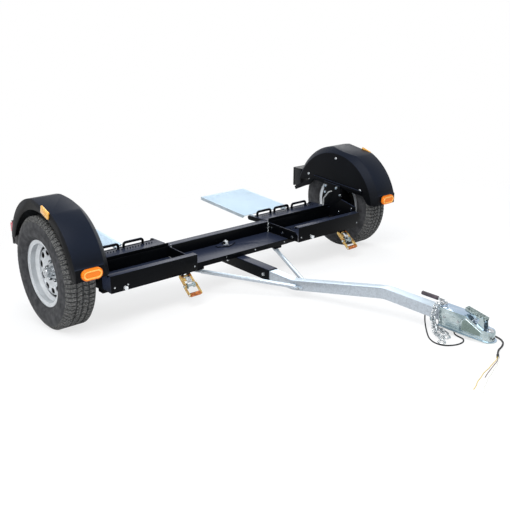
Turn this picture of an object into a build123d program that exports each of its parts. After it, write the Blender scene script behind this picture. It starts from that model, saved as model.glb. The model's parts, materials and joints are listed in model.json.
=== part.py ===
from build123d import *
from math import asin, atan2, cos, hypot, pi, radians, sin, sqrt, tan
import os

os.makedirs("parts", exist_ok=True)

# A tow dolly: a low steel bed on two wheels, with two trays for a car's front wheels, two loading
# ramps behind them and a bent drawbar with a ball coupler in front.
# Millimetres. The chassis frame is the dolly with its deck level: x across it, y to the rear from
# the axle line, z up from the line where the tyres touch the ground. The part stands as the real
# one is parked, on both tyres and the underside of its coupler, so the chassis frame is turned
# nose down about the axle line by the angle worked out below.

# Driving sizes
tyre_face_to_face = 2604.0
tyre_radius = 331.5
tyre_width = 203.0
fit_gap = 0.3
sheet = 4.0

# Wheels
tyre_wall = 11.0
tread_width = 146.0
tread_groove = 8.0
bead_radius = 178.0
bead_width = 136.0
bead_height = 27.0
rim_sheet = 4.0
rim_lip_height = 17.0
rim_well_depth = 22.0
disc_radius = 150.0
disc_offset = 16.0
vent_count = 10
vent_circle = 112.0
vent_length = 40.0
vent_width = 24.0
stud_count = 5
stud_circle = 57.15
stud_radius = 6.35
nut_across = 19.0
nut_height = 17.0
spindle_radius = 17.0
spindle_clearance = 0.05
hub_radius = 33.0
hub_cap_radius = 30.0
hub_cap_length = 46.0
drum_radius = 108.0
drum_length = 52.0
drum_wall = 8.0

# Bed
floor_height = 240.0
beam_depth = 60.0
beam_height = 74.0
beam_wall = 5.0
beam_front = 2.0
wheel_to_beam = 160.5
deck_front = 211.0
deck_half_width = 418.0
fascia_height = 34.0
cross_tube_depth = 50.0
cross_tube_wall = 4.0
divider_thickness = 6.0
divider_height = 70.0
tray_end_gap = 20.0
tray_front = 311.0
tray_rail_height = 100.0
tray_flange = 36.0
tray_lip = 12.0
slot_length = 112.0
slot_width = 9.0
slot_row = 50.0
slot_places = (203.0, 410.0)

# Shelf, strap loops and ramps
shelf_depth = 152.0
shelf_upstand = 18.0
shelf_lip = 26.0
gusset_thickness = 12.0
gusset_height = 30.0
gusset_reach = 205.0
gusset_nose = 16.0
loop_rod = 6.5
loop_row = 140.0
loop_height = 34.0
loop_bend = 16.0
loop_spans = ((12.0, 138.0), (176.0, 310.0), (350.0, 490.0))
ramp_rod_radius = 7.0
ramp_rod_drop = 16.0
ramp_rise = 3.6
ramp_length = 560.0
ramp_width = 425.0
ramp_offset = -35.0
ramp_start = 25.0
ramp_lip = 24.0
ramp_top_above_rod = 13.0
ramp_ear = 8.0
ramp_ear_places = (60.0, 365.0)
ramp_ear_radius = 13.0

# Hub carriers and brakes
carrier_thickness = 12.0
carrier_front = 250.0
carrier_top = 168.5
carrier_shoulder = 28.5
backing_radius = 115.0
backing_gap = 6.0
backing_thickness = 4.0

# Fenders, with heights from the axle line
fender_radius = 430.0
fender_wall = 4.0
fender_width = 215.0
fender_shoulder = 42.0
fender_lip = 62.0
fender_front_foot = 63.5
fender_front_fold = 136.5
fender_front_step = 8.0
fender_flat_front = 180.0
fender_flat_rear = 45.0
fender_rear_foot = 392.0
fender_rear_height = 123.5
fender_rear_bulge = (300.0, 302.5)
fender_plate_front = (-300.0, 117.5)
fender_plate_rear = (241.0, 155.5)
fender_foot_length = 70.0
cut_margin = 20.0
lamp_place = 126.0
lamp_height_up = 100.5
lamp_width = 124.0
lamp_height = 64.0
lamp_depth = 22.0
reflector_width = 90.0
reflector_height = 44.0
reflector_depth = 9.0
reflector_angle = 107.0
tail_box_width = 140.0
tail_box_depth = 68.0
tail_box_bottom = 53.5
tail_box_top = 198.5
tail_lens_depth = 18.0
tail_strip_height = 52.0
tail_strip_drop = 38.0
tail_strip_proud = 6.0
bar_thickness = 12.0
bar_top = ((-292.0, 130.5), (-288.0, 154.5), (200.0, 188.5), (262.0, 138.5), (408.0, 64.5))
bar_bottom = ((396.0, 40.5), (235.0, 114.5), (190.0, 156.5))
bar_eye = (392.0, 59.5)
bar_eye_radius = 7.0

# Tongue and its braces
tongue_width = 63.5
tongue_wall = 5.0
tongue_corner = 8.0
tongue_level = 168.0
tongue_rise_start = -735.0
tongue_rise_end = -1435.0
tongue_top_level = 334.0
tongue_end = -1985.0
tongue_tail = -250.0
tongue_bend_radius = 260.0
sleeve_width = 76.0
sleeve_front = -525.0
saddle_front = -80.0
saddle_width = 96.0
pivot_y = -42.0
pivot_radius = 9.0
pivot_plate_length = 150.0
pivot_plate_width = 84.0
pivot_plate_thickness = 8.0
pivot_nut_across = 34.0
pivot_nut_height = 20.0
brace_radius = 13.0
brace_wall = 3.0
brace_flat = 8.0
brace_flat_width = 34.0
brace_flat_length = 48.0
brace_overlap = 4.0
brace_top_x = 330.0
brace_foot_x = 30.0
brace_foot_y = -800.0
brace_bracket = 60.0
brace_bracket_height = 18.0
knob_radius = 12.0
knob_length = 18.0
knob_height = 254.0
knob_places = (543.0, -931.0)

# Coupler, chains, pull pin and wiring
ball_radius = 25.4
socket_clearance = 0.4
socket_depth = 22.0
coupler_base = 283.0
ball_y = -2059.0
coupler_wall = 5.0
coupler_rear = -1800.0
coupler_roof = 14.0
coupler_shoulder_y = -1950.0
coupler_nose_roof = 6.0
coupler_flange = 5.0
coupler_flange_reach = 10.0
latch_length = 112.0
latch_width = 30.0
latch_rise = 17.0
latch_sheet = 3.0
latch_pivot_y = -2026.0
latch_pivot_z = 382.0
latch_pin_radius = 4.0
latch_ear = 4.0
latch_ear_radius = 10.0
latch_gap = 1.0
pin_radius = 5.0
pin_y = -1815.0
pin_height = 403.0
pin_bend = 14.0
grip_radius = 10.5
grip_length = 100.0
grip_rear = -1663.0
chain_wire = 3.2
chain_pitch = 25.0
chain_inner_width = 14.0
chain_slack = 0.4
chain_y = -1784.0
chain_over = 4.0
hook_wire = 5.0
hook_length = 68.0
hook_mouth = 28.0
hook_tip = 30.0
staple_y = -1742.0
staple_half = 20.0
staple_drop = 22.0
staple_bend = 12.0
staple_rod = 5.0
grommet_y = -1740.0
grommet_radius = 11.0
grommet_length = 6.0
sheath_radius = 4.5
tape_radius = 6.5
wire_radius = 1.6
loom_radius = 3.5
hose_radius = 5.0
hose_inset = 40.0
hose_y = 32.0
hose_top = 378.0
hose_bend = 15.0
hose_reach = 42.0
hose_step = 8.0
hose_rise = 58.0
loom_x = -12.0
loom_start = -1700.0
loom_end = -1896.0
coupler_lip = 38.0

# Ratchet winches for the tie-down straps
ratchet_places = (870.0, -505.0)
ratchet_lean = 39.0
ratchet_y = -290.0
ratchet_z = 214.0
ratchet_half_width = 36.0
ratchet_plate = 3.0
ratchet_plate_width = 28.0
ratchet_spool_place = 70.0
ratchet_web = 26.0
ratchet_shaft = 8.0
ratchet_wheel = 18.0
ratchet_wheel_width = 6.0
tooth_count = 12
tooth_depth = 5.0
ratchet_gap = 5.5
handle_length = 64.0
handle_width = 22.0
handle_grip = 9.0
hanger_width = 40.0
hanger_bolt = 6.0
hanger_nose = 11.0

# The nose drops until the coupler's front edge meets the floor.
nose_radius = ball_radius + socket_clearance + coupler_wall + coupler_flange_reach
nose_reach = nose_radius - ball_y
nose_down = asin(tyre_radius / hypot(nose_reach, tyre_radius - coupler_base)) - atan2(
    tyre_radius - coupler_base, nose_reach
)


def turned_y(y, z):
    """How far to the rear of the axle line a point of the chassis frame lies once it is turned."""
    return y * cos(nose_down) - (z - tyre_radius) * sin(nose_down)


# The origin is on the floor, in the middle of the length from the ramps' ends to the coupler.
ramp_rod_y = gusset_reach
ramp_rod_z = floor_height + beam_height - ramp_rod_drop
ramp_tip_y = ramp_rod_y + ramp_length * cos(radians(ramp_rise))
ramp_tip_z = ramp_rod_z + ramp_length * sin(radians(ramp_rise))
rear_reach = turned_y(ramp_tip_y, ramp_tip_z - ramp_lip + ramp_top_above_rod)
front_reach = turned_y(-nose_reach, coupler_base + coupler_flange)
axle_y = -(rear_reach + front_reach) / 2
chassis = Plane(
    origin=(0, axle_y, tyre_radius),
    x_dir=(1, 0, 0),
    z_dir=(0, -sin(nose_down), cos(nose_down)),
)


def at(x, y, z):
    """A point of the chassis frame, as a point of the part."""
    return chassis.from_local_coords(Vector(x, y, z - tyre_radius))


def level(z):
    """Plane parallel to the deck: local x across, local y to the rear."""
    return Plane(at(0, 0, z), x_dir=chassis.x_dir, z_dir=chassis.z_dir)


def upright(x):
    """Plane along the dolly, facing +X: local x to the rear, local y up."""
    return Plane(at(x, 0, 0), x_dir=chassis.y_dir, z_dir=chassis.x_dir)


def crosswise(y):
    """Plane across the dolly, facing the front: local x to +X, local y up."""
    return Plane(at(0, y, 0), x_dir=chassis.x_dir, z_dir=-chassis.y_dir)


def along_x(x, y, z):
    """Axis across the dolly through a point of the chassis frame."""
    return Axis(at(x, y, z), (1, 0, 0))


def save(part, label):
    """Label a finished piece and write it to its own file."""
    part.label = label
    export_step(part, f"parts/{label}.step")


sides = (("left", 1), ("right", -1))

# Across the dolly each part is placed from the wheels inwards.
wheel_x = (tyre_face_to_face - tyre_width) / 2
beam_half_length = wheel_x - wheel_to_beam
tray_length = beam_half_length - tray_end_gap - deck_half_width - divider_thickness
bar_inside = beam_half_length + carrier_thickness
fender_inner = bar_inside + bar_thickness
fender_outer = fender_inner + fender_width


def above_axle(points):
    """Points of a side view with heights from the axle line, as points of the chassis frame."""
    return [(y, tyre_radius + height) for y, height in points]


# Wheels: a hollow tyre with three grooves on a stepped steel rim, bolted to a braked hub
for name, side in sides:
    middle = side * wheel_x

    with BuildPart() as tyre:
        with BuildSketch(crosswise(0)):
            with BuildLine():
                half_tread = tread_width / 2
                half_bead = bead_width / 2
                half_width = tyre_width / 2
                rim_top = tyre_radius + bead_radius
                crown = 2 * tyre_radius
                outside = Polyline(
                    (middle - half_bead + tyre_wall, rim_top),
                    (middle - half_bead, rim_top),
                    (middle - half_bead, rim_top + bead_height),
                )
                left_wall = ThreePointArc(
                    outside @ 1,
                    (middle - half_width, rim_top + 72),
                    (middle - half_tread - 14, crown - 16),
                )
                tread = Polyline(
                    left_wall @ 1,
                    (middle - half_tread, crown),
                    (middle + half_tread, crown),
                    (middle + half_tread + 14, crown - 16),
                )
                right_wall = ThreePointArc(
                    tread @ 1,
                    (middle + half_width, rim_top + 72),
                    (middle + half_bead, rim_top + bead_height),
                )
                Polyline(
                    right_wall @ 1,
                    (middle + half_bead, rim_top),
                    (middle + half_bead - tyre_wall, rim_top),
                    (middle + half_bead - tyre_wall, rim_top + bead_height + 6),
                    (middle + half_width - tyre_wall, rim_top + 72),
                    (middle + half_tread - 4, crown - 16 - tyre_wall),
                    (middle - half_tread + 4, crown - 16 - tyre_wall),
                    (middle - half_width + tyre_wall, rim_top + 72),
                    (middle - half_bead + tyre_wall, rim_top + bead_height + 6),
                    outside @ 0,
                )
            make_face()
            with Locations(*[(middle + step * tread_width / 4, crown) for step in (-1, 0, 1)]):
                Rectangle(tread_groove, 2 * tread_groove, mode=Mode.SUBTRACT)
        revolve(axis=along_x(middle, 0, tyre_radius))
    save(tyre.part, f"{name}_tyre")

    # The rim's barrel with its lips and drop centre, and the vented disc welded into it
    outward = Plane(at(middle, 0, tyre_radius), x_dir=(side, 0, 0), z_dir=side * -chassis.y_dir)
    disc_plane = Plane(
        at(middle + side * disc_offset, 0, tyre_radius), x_dir=chassis.y_dir, z_dir=(side, 0, 0)
    )
    with BuildPart() as rim:
        with BuildSketch(outward):
            with BuildLine():
                half = bead_width / 2
                well = bead_radius - rim_well_depth
                barrel = Polyline(
                    (-half - rim_sheet - 6, bead_radius + rim_lip_height + 3),
                    (-half - rim_sheet, bead_radius + rim_lip_height),
                    (-half - rim_sheet, bead_radius - rim_sheet),
                    (-half + 30, bead_radius - rim_sheet),
                    (-half + 44, well),
                    (half - 60, well),
                    (half - 34, bead_radius - rim_sheet),
                    (half + rim_sheet, bead_radius - rim_sheet),
                    (half + rim_sheet, bead_radius + rim_lip_height),
                    (half + rim_sheet + 6, bead_radius + rim_lip_height + 3),
                )
                offset(barrel, amount=rim_sheet, side=Side.LEFT, kind=Kind.INTERSECTION)
            make_face()
        revolve(axis=along_x(middle, 0, tyre_radius))
        with BuildSketch(outward):
            with BuildLine():
                dish = Polyline(
                    (disc_offset, hub_radius + spindle_clearance),
                    (disc_offset, stud_circle + 22),
                    (disc_offset + 16, stud_circle + 34),
                    (disc_offset + 16, disc_radius - 14),
                    (disc_offset - 16, disc_radius - 4),
                    (disc_offset - 16, well + 1),
                )
                offset(dish, amount=rim_sheet, side=Side.LEFT, kind=Kind.INTERSECTION)
            make_face()
        revolve(axis=along_x(middle, 0, tyre_radius))
        with BuildSketch(disc_plane.offset(-rim_sheet - 2)):
            with PolarLocations(vent_circle, vent_count):
                SlotOverall(vent_length, vent_width, rotation=90)
        extrude(amount=30, mode=Mode.SUBTRACT)
        with BuildSketch(disc_plane.offset(-rim_sheet - 2)):
            with PolarLocations(stud_circle, stud_count):
                Circle(stud_radius + fit_gap)
        extrude(amount=12, mode=Mode.SUBTRACT)
    save(rim.part, f"{name}_rim")

    # The hub with its brake drum behind the disc, five studs with nuts, and the grease cap
    drum_face = disc_offset - rim_sheet
    with BuildPart() as hub:
        with BuildSketch(outward):
            with BuildLine():
                Polyline(
                    (drum_face, spindle_radius + spindle_clearance),
                    (drum_face, drum_radius),
                    (drum_face - drum_length, drum_radius),
                    (drum_face - drum_length, drum_radius - drum_wall),
                    (drum_face - drum_wall, drum_radius - drum_wall),
                    (drum_face - drum_wall, hub_radius + 12),
                    (drum_face - drum_length + 6, hub_radius + 12),
                    (drum_face - drum_length + 6, spindle_radius + spindle_clearance),
                    close=True,
                )
            make_face()
        revolve(axis=along_x(middle, 0, tyre_radius))
        with BuildSketch(outward):
            with BuildLine():
                bore = spindle_radius + spindle_clearance
                bore_end = disc_offset + 34
                Polyline(
                    (drum_face - 1, bore),
                    (drum_face - 1, hub_radius),
                    (disc_offset + 12, hub_radius),
                    (disc_offset + 12, hub_cap_radius),
                    (disc_offset + hub_cap_length, hub_cap_radius - 2),
                    (disc_offset + hub_cap_length + 8, hub_cap_radius * 0.6),
                    (disc_offset + hub_cap_length + 10, 0),
                    (bore_end, 0),
                    (bore_end, bore),
                    close=True,
                )
            make_face()
        revolve(axis=along_x(middle, 0, tyre_radius))
        with BuildSketch(disc_plane.offset(-rim_sheet - 1)):
            with PolarLocations(stud_circle, stud_count):
                Circle(stud_radius)
        extrude(amount=rim_sheet + nut_height)
        with BuildSketch(disc_plane):
            with PolarLocations(stud_circle, stud_count):
                RegularPolygon(nut_across / 2, 6, major_radius=False)
        extrude(amount=nut_height)
    save(hub.part, f"{name}_hub")

    # Upright plate on the beam's end that carries the spindle and the fender
    beam_end = side * beam_half_length
    backing_outer = wheel_x + drum_face - drum_length - backing_gap
    beam_top = floor_height + beam_height
    with BuildPart() as carrier:
        with BuildSketch(upright(beam_end)):
            with BuildLine():
                Polyline(
                    (-carrier_front, floor_height + 12),
                    (beam_front + beam_depth + 8, floor_height - 4),
                    (beam_front + beam_depth + 8, tyre_radius + 40),
                    (70, tyre_radius + carrier_top),
                    (-90, tyre_radius + carrier_top - 12),
                    (-110, tyre_radius + 60),
                    (-carrier_front, tyre_radius + carrier_shoulder + 1.5),
                    close=True,
                )
            make_face()
        extrude(amount=side * carrier_thickness)
        with BuildSketch(upright(beam_end)):
            with Locations((0, tyre_radius)):
                Circle(spindle_radius + 14)
        extrude(amount=side * (backing_outer - beam_half_length))
        with BuildSketch(upright(beam_end)):
            with Locations((0, tyre_radius)):
                Circle(spindle_radius)
        extrude(amount=side * (wheel_x + disc_offset + 30 - beam_half_length))
    save(carrier.part, f"{name}_hub_carrier")

# Brake backing plates, one on each spindle's shoulder
with BuildPart() as backing_plates:
    for name, side in sides:
        with BuildSketch(upright(side * (backing_outer - backing_thickness))):
            with Locations((0, tyre_radius)):
                Circle(backing_radius)
                Circle(spindle_radius + 14, mode=Mode.SUBTRACT)
        extrude(amount=side * backing_thickness)
save(backing_plates.part, "brake_backing_plates")

# Bed: the axle beam, the folded deck, the front cross tube and the trays for the car's wheels
with BuildPart() as axle_beam:
    with BuildSketch(upright(-beam_half_length)):
        with Locations((beam_front + beam_depth / 2, floor_height + beam_height / 2)):
            Rectangle(beam_depth, beam_height)
            Rectangle(beam_depth - 2 * beam_wall, beam_height - 2 * beam_wall, mode=Mode.SUBTRACT)
    extrude(amount=2 * beam_half_length)
save(axle_beam.part, "axle_beam")

beam_rear = beam_front + beam_depth
with BuildPart() as deck:
    with BuildSketch(upright(-deck_half_width)):
        with BuildLine():
            fold = Polyline(
                (-deck_front, floor_height - fascia_height),
                (-deck_front, floor_height),
                (beam_rear, floor_height),
            )
            offset(fold, amount=sheet, side=Side.RIGHT, kind=Kind.INTERSECTION)
        make_face()
    extrude(amount=2 * deck_half_width)
    with BuildSketch(level(floor_height - sheet)):
        with Locations((0, pivot_y)):
            Circle(pivot_radius + fit_gap)
    extrude(amount=sheet, mode=Mode.SUBTRACT)
save(deck.part, "centre_deck")

cross_tube_height = fascia_height - sheet
cross_tube_half = deck_half_width + divider_thickness + tray_length
with BuildPart() as cross_tube:
    with BuildSketch(upright(-cross_tube_half)):
        with Locations(
            (-deck_front + sheet + cross_tube_depth / 2, floor_height - sheet - cross_tube_height / 2)
        ):
            Rectangle(cross_tube_depth, cross_tube_height)
            Rectangle(
                cross_tube_depth - 2 * cross_tube_wall,
                cross_tube_height - 2 * cross_tube_wall,
                mode=Mode.SUBTRACT,
            )
    extrude(amount=2 * cross_tube_half)
save(cross_tube.part, "front_cross_tube")

with BuildPart() as dividers:
    for name, side in sides:
        with BuildSketch(upright(side * deck_half_width)):
            with BuildLine():
                Polyline(
                    (-tray_front + sheet + 6, floor_height),
                    (beam_front, floor_height),
                    (beam_front, floor_height + divider_height),
                    (-tray_front + 36, floor_height + divider_height - 6),
                    (-tray_front + sheet + 6, floor_height + 38),
                    close=True,
                )
            make_face()
        extrude(amount=side * divider_thickness)
save(dividers.part, "tray_dividers")

# Both trays, shelves, loops and ramps are the same unit, moved across and not mirrored.
tray_starts = (deck_half_width + divider_thickness, -deck_half_width - divider_thickness - tray_length)
shelf_top = floor_height + beam_height + sheet
with BuildPart() as trays:
    for start in tray_starts:
        with BuildSketch(upright(start)):
            with BuildLine():
                rail_inside = -tray_front + sheet
                fold = Polyline(
                    (beam_rear, floor_height),
                    (rail_inside, floor_height),
                    (rail_inside, floor_height + tray_rail_height - sheet),
                    (rail_inside + tray_flange, floor_height + tray_rail_height - sheet),
                    (rail_inside + tray_flange, floor_height + tray_rail_height - tray_lip - sheet),
                )
                offset(fold, amount=sheet, side=Side.LEFT, kind=Kind.INTERSECTION)
            make_face()
        extrude(amount=tray_length)
        with BuildSketch(level(floor_height - sheet)):
            with Locations(*[(start + place, -slot_row) for place in slot_places]):
                SlotOverall(slot_length, slot_width)
        extrude(amount=sheet, mode=Mode.SUBTRACT)
save(trays.part, "wheel_trays")

with BuildPart() as shelves:
    for start in tray_starts:
        with BuildSketch(upright(start)):
            with BuildLine():
                fold = Polyline(
                    (beam_front + shelf_depth, shelf_top - shelf_lip),
                    (beam_front + shelf_depth, shelf_top),
                    (beam_front + sheet, shelf_top),
                    (beam_front + sheet, shelf_top + shelf_upstand),
                )
                offset(fold, amount=sheet, side=Side.LEFT, kind=Kind.INTERSECTION)
            make_face()
        extrude(amount=tray_length)
        for place in (start - gusset_thickness, start + tray_length):
            with BuildSketch(upright(place)):
                with BuildLine():
                    Polyline(
                        (beam_rear, shelf_top),
                        (beam_rear, shelf_top - gusset_height),
                        (ramp_rod_y, ramp_rod_z - gusset_nose),
                        (ramp_rod_y, ramp_rod_z + gusset_nose),
                        close=True,
                    )
                make_face()
                with Locations((ramp_rod_y, ramp_rod_z)):
                    Circle(gusset_nose)
            extrude(amount=gusset_thickness)
        with BuildSketch(upright(start)):
            with Locations((ramp_rod_y, ramp_rod_z)):
                Circle(ramp_rod_radius)
        extrude(amount=tray_length)
save(shelves.part, "rear_shelves")

with BuildPart() as loops:
    for start in tray_starts:
        for first, last in loop_spans:
            with BuildLine() as wire:
                FilletPolyline(
                    at(start + first, loop_row, shelf_top),
                    at(start + first, loop_row, shelf_top + loop_height),
                    at(start + last, loop_row, shelf_top + loop_height),
                    at(start + last, loop_row, shelf_top),
                    radius=loop_bend,
                )
            with BuildSketch(Plane(wire.line @ 0, x_dir=(1, 0, 0), z_dir=wire.line % 0)):
                Circle(loop_rod)
            sweep(path=wire.line)
save(loops.part, "strap_loops")

# Ramps: a folded plate with two ears round the rod of its shelf
for (name, side), start in zip(sides, tray_starts):
    ramp_left = start + ramp_offset
    ramp_plane = Plane(
        at(ramp_left, ramp_rod_y, ramp_rod_z),
        x_dir=chassis.y_dir.rotate(Axis.X, ramp_rise),
        z_dir=(1, 0, 0),
    )
    with BuildPart() as ramp:
        with BuildSketch(ramp_plane):
            with BuildLine():
                fold = Polyline(
                    (ramp_start, ramp_top_above_rod),
                    (ramp_length, ramp_top_above_rod),
                    (ramp_length, ramp_top_above_rod - ramp_lip),
                )
                offset(fold, amount=sheet, side=Side.RIGHT, kind=Kind.INTERSECTION)
            make_face()
        extrude(amount=ramp_width)
        for place in (0, ramp_width - sheet):
            with BuildSketch(ramp_plane.offset(place)):
                with BuildLine():
                    Polyline(
                        (ramp_start, ramp_top_above_rod),
                        (ramp_length, ramp_top_above_rod),
                        (ramp_length, ramp_top_above_rod - ramp_lip),
                        (ramp_start + 20, ramp_top_above_rod - ramp_lip),
                        (ramp_start, ramp_top_above_rod - sheet),
                        close=True,
                    )
                make_face()
            extrude(amount=sheet)
        for place in ramp_ear_places:
            with BuildSketch(ramp_plane.offset(place)):
                with BuildLine():
                    Polyline(
                        (0, ramp_ear_radius),
                        (0, -ramp_ear_radius),
                        (ramp_start + 50, ramp_top_above_rod - sheet - 2),
                        (ramp_start + 50, ramp_top_above_rod),
                        close=True,
                    )
                make_face()
                Circle(ramp_ear_radius)
                Circle(ramp_rod_radius + spindle_clearance, mode=Mode.SUBTRACT)
            extrude(amount=ramp_ear)
    save(ramp.part, f"{name}_ramp")

# Fenders: a vertical front end, an arch with a flat between two creases, a sloping shoulder down
# to the flat inner side, a lip round the outer side, and no bottom
arch_front = -sqrt(fender_radius**2 - fender_front_fold**2)
fender_front = arch_front - fender_front_step


def on_arch(y):
    """The point of the fender's arch above a place along the dolly."""
    return (y, tyre_radius + sqrt(fender_radius**2 - y**2))


def fender_outline():
    """Draw the fender's closed side view in the line that is open."""
    half_way = radians(155)
    foot_height = tyre_radius + fender_front_foot
    fold_height = tyre_radius + fender_front_fold
    foot = Polyline(
        (fender_front, foot_height),
        (fender_front, fold_height - fender_wall),
        (arch_front, fold_height),
    )
    middle_of_arc = (fender_radius * cos(half_way), tyre_radius + fender_radius * sin(half_way))
    front_arc = ThreePointArc(foot @ 1, middle_of_arc, on_arch(-fender_flat_front))
    crown_flat = Line(front_arc @ 1, on_arch(fender_flat_rear))
    rear_foot = (fender_rear_foot, fender_rear_height)
    rear_arc = ThreePointArc(crown_flat @ 1, *above_axle((fender_rear_bulge, rear_foot)))
    Polyline(
        rear_arc @ 1,
        *above_axle((fender_plate_rear, fender_plate_front)),
        (fender_front + fender_foot_length, foot_height),
        foot @ 0,
    )


for name, side in sides:
    with BuildPart() as fender:
        with BuildSketch(upright(side * fender_inner)):
            with BuildLine():
                fender_outline()
            make_face()
        extrude(amount=side * (fender_outer - fender_inner - fender_wall))
        with BuildSketch(crosswise(0)):
            with BuildLine():
                crown = tyre_radius + fender_radius
                shoulder_low = crown - fender_shoulder
                Polyline(
                    (side * (fender_inner - cut_margin), shoulder_low - cut_margin),
                    (side * (fender_inner + fender_shoulder + cut_margin), crown + cut_margin),
                    (side * (fender_inner - cut_margin), crown + cut_margin),
                    close=True,
                )
            make_face()
        revolve(axis=along_x(0, 0, tyre_radius), mode=Mode.SUBTRACT)
        below = fender.faces().filter_by(
            lambda face: face.normal_at().dot(chassis.z_dir) < -0.3
            and face.center().Z < at(0, 0, tyre_radius + fender_radius / 2).Z
        )
        outer_face = fender.faces().sort_by(Axis.X)[-1 if side > 0 else 0]
        offset(amount=-fender_wall, openings=below + [outer_face])
        with BuildSketch(upright(side * (fender_outer - fender_wall))):
            with BuildLine():
                fender_outline()
            make_face()
            with Locations((0, tyre_radius)):
                Circle(fender_radius - fender_lip, mode=Mode.SUBTRACT)
        extrude(amount=side * fender_wall)
    save(fender.part, f"{name}_fender")

# Lamps, reflectors and tail lamps, and the flat bars that bolt the fenders to the hub carriers
with BuildPart() as marker_lamps:
    for name, side in sides:
        with BuildSketch(crosswise(fender_front)):
            with Locations((side * (fender_inner + lamp_place), tyre_radius + lamp_height_up)):
                SlotOverall(lamp_width, lamp_height)
        extrude(amount=lamp_depth)
    fillet(marker_lamps.faces().group_by(Axis.Y)[0].edges(), radius=lamp_depth / 3)
save(marker_lamps.part, "marker_lamps")

with BuildPart() as reflectors:
    for name, side in sides:
        with BuildSketch(upright(side * fender_outer)):
            reflector_reach = fender_radius - reflector_height / 2 - fender_wall
            with Locations((0, tyre_radius)):
                with PolarLocations(reflector_reach, 1, start_angle=reflector_angle):
                    RectangleRounded(reflector_height, reflector_width, 8)
        extrude(amount=side * reflector_depth)
save(reflectors.part, "side_reflectors")

tail_x = (fender_inner + fender_outer) / 2
tail_side = tail_x + tail_box_width / 2
tail_front = fender_rear_foot + fit_gap
tail_rear = tail_front + tail_box_depth
tail_z = tyre_radius + (tail_box_top + tail_box_bottom) / 2
tail_height = tail_box_top - tail_box_bottom
strip_z = tyre_radius + tail_box_top - tail_strip_drop
with BuildPart() as tail_boxes:
    for name, side in sides:
        with BuildSketch(crosswise(tail_front)):
            with Locations((side * tail_x, tail_z)):
                RectangleRounded(tail_box_width, tail_height, 8)
        extrude(amount=-tail_box_depth)
save(tail_boxes.part, "tail_lamp_boxes")

with BuildPart() as tail_lenses:
    for name, side in sides:
        with BuildSketch(crosswise(tail_rear)):
            with Locations((side * tail_x, tail_z)):
                RectangleRounded(tail_box_width - 6, tail_height - 6, 8)
        extrude(amount=-tail_lens_depth)
        # A strip of the lens runs forward along the box's outer side.
        with BuildSketch(upright(side * tail_side)):
            with Locations(((tail_front + tail_rear + tail_lens_depth) / 2 + 10, strip_z)):
                Rectangle(tail_box_depth + tail_lens_depth - 20, tail_strip_height)
        extrude(amount=side * tail_strip_proud)
        with BuildSketch(upright(side * (tail_side - 3))):
            with Locations((tail_rear + tail_lens_depth / 2, strip_z)):
                Rectangle(tail_lens_depth, tail_strip_height)
        extrude(amount=side * (tail_strip_proud + 3))
save(tail_lenses.part, "tail_lamp_lenses")

with BuildPart() as fender_bars:
    for name, side in sides:
        with BuildSketch(upright(side * bar_inside)):
            with BuildLine():
                Polyline(*above_axle(bar_top + bar_bottom), close=True)
            make_face()
            with Locations(*above_axle((bar_eye,))):
                Circle(bar_eye_radius, mode=Mode.SUBTRACT)
        extrude(amount=side * bar_thickness)
save(fender_bars.part, "fender_bars")

# Tongue: a square tube with two bends, held in a sleeve that hangs under the deck
with BuildPart() as tongue:
    with BuildLine() as tongue_path:
        FilletPolyline(
            at(0, tongue_tail, tongue_level),
            at(0, tongue_rise_start, tongue_level),
            at(0, tongue_rise_end, tongue_top_level),
            at(0, tongue_end, tongue_top_level),
            radius=tongue_bend_radius,
        )
    with BuildSketch(Plane(tongue_path.line @ 0, x_dir=(1, 0, 0), z_dir=tongue_path.line % 0)):
        RectangleRounded(tongue_width, tongue_width, tongue_corner)
    sweep(path=tongue_path.line)
    with BuildSketch(Plane(tongue_path.line @ 0, x_dir=(1, 0, 0), z_dir=tongue_path.line % 0)):
        inside = tongue_width - 2 * tongue_wall
        RectangleRounded(inside, inside, tongue_corner - tongue_wall)
    sweep(path=tongue_path.line, mode=Mode.SUBTRACT)
    with BuildSketch(level(tongue_top_level)):
        with Locations((0, pin_y)):
            Circle(pin_radius + fit_gap)
    extrude(amount=tongue_width, mode=Mode.SUBTRACT)
save(tongue.part, "tongue")

sleeve_top = tongue_level + sleeve_width / 2
with BuildPart() as sleeve:
    with BuildSketch(crosswise(beam_rear)):
        with Locations((0, tongue_level)):
            RectangleRounded(sleeve_width, sleeve_width, tongue_corner)
            bore = tongue_width + 2 * fit_gap
            RectangleRounded(bore, bore, tongue_corner - 2, mode=Mode.SUBTRACT)
    extrude(amount=beam_rear - sleeve_front)
save(sleeve.part, "tongue_sleeve")

deck_underside = floor_height - sheet
with BuildPart() as saddle:
    with BuildSketch(crosswise(beam_rear)):
        with BuildLine():
            half = saddle_width / 2
            drop = sleeve_top - 30
            Polyline(
                (-half, deck_underside),
                (half, deck_underside),
                (half, drop),
                (sleeve_width / 2, drop),
                (sleeve_width / 2, sleeve_top),
                (-sleeve_width / 2, sleeve_top),
                (-sleeve_width / 2, drop),
                (-half, drop),
                close=True,
            )
        make_face()
    extrude(amount=beam_rear - saddle_front)
    with BuildSketch(level(sleeve_top)):
        with Locations((0, pivot_y)):
            Circle(pivot_radius + fit_gap)
    extrude(amount=deck_underside - sleeve_top, mode=Mode.SUBTRACT)
save(saddle.part, "tongue_saddle")

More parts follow.
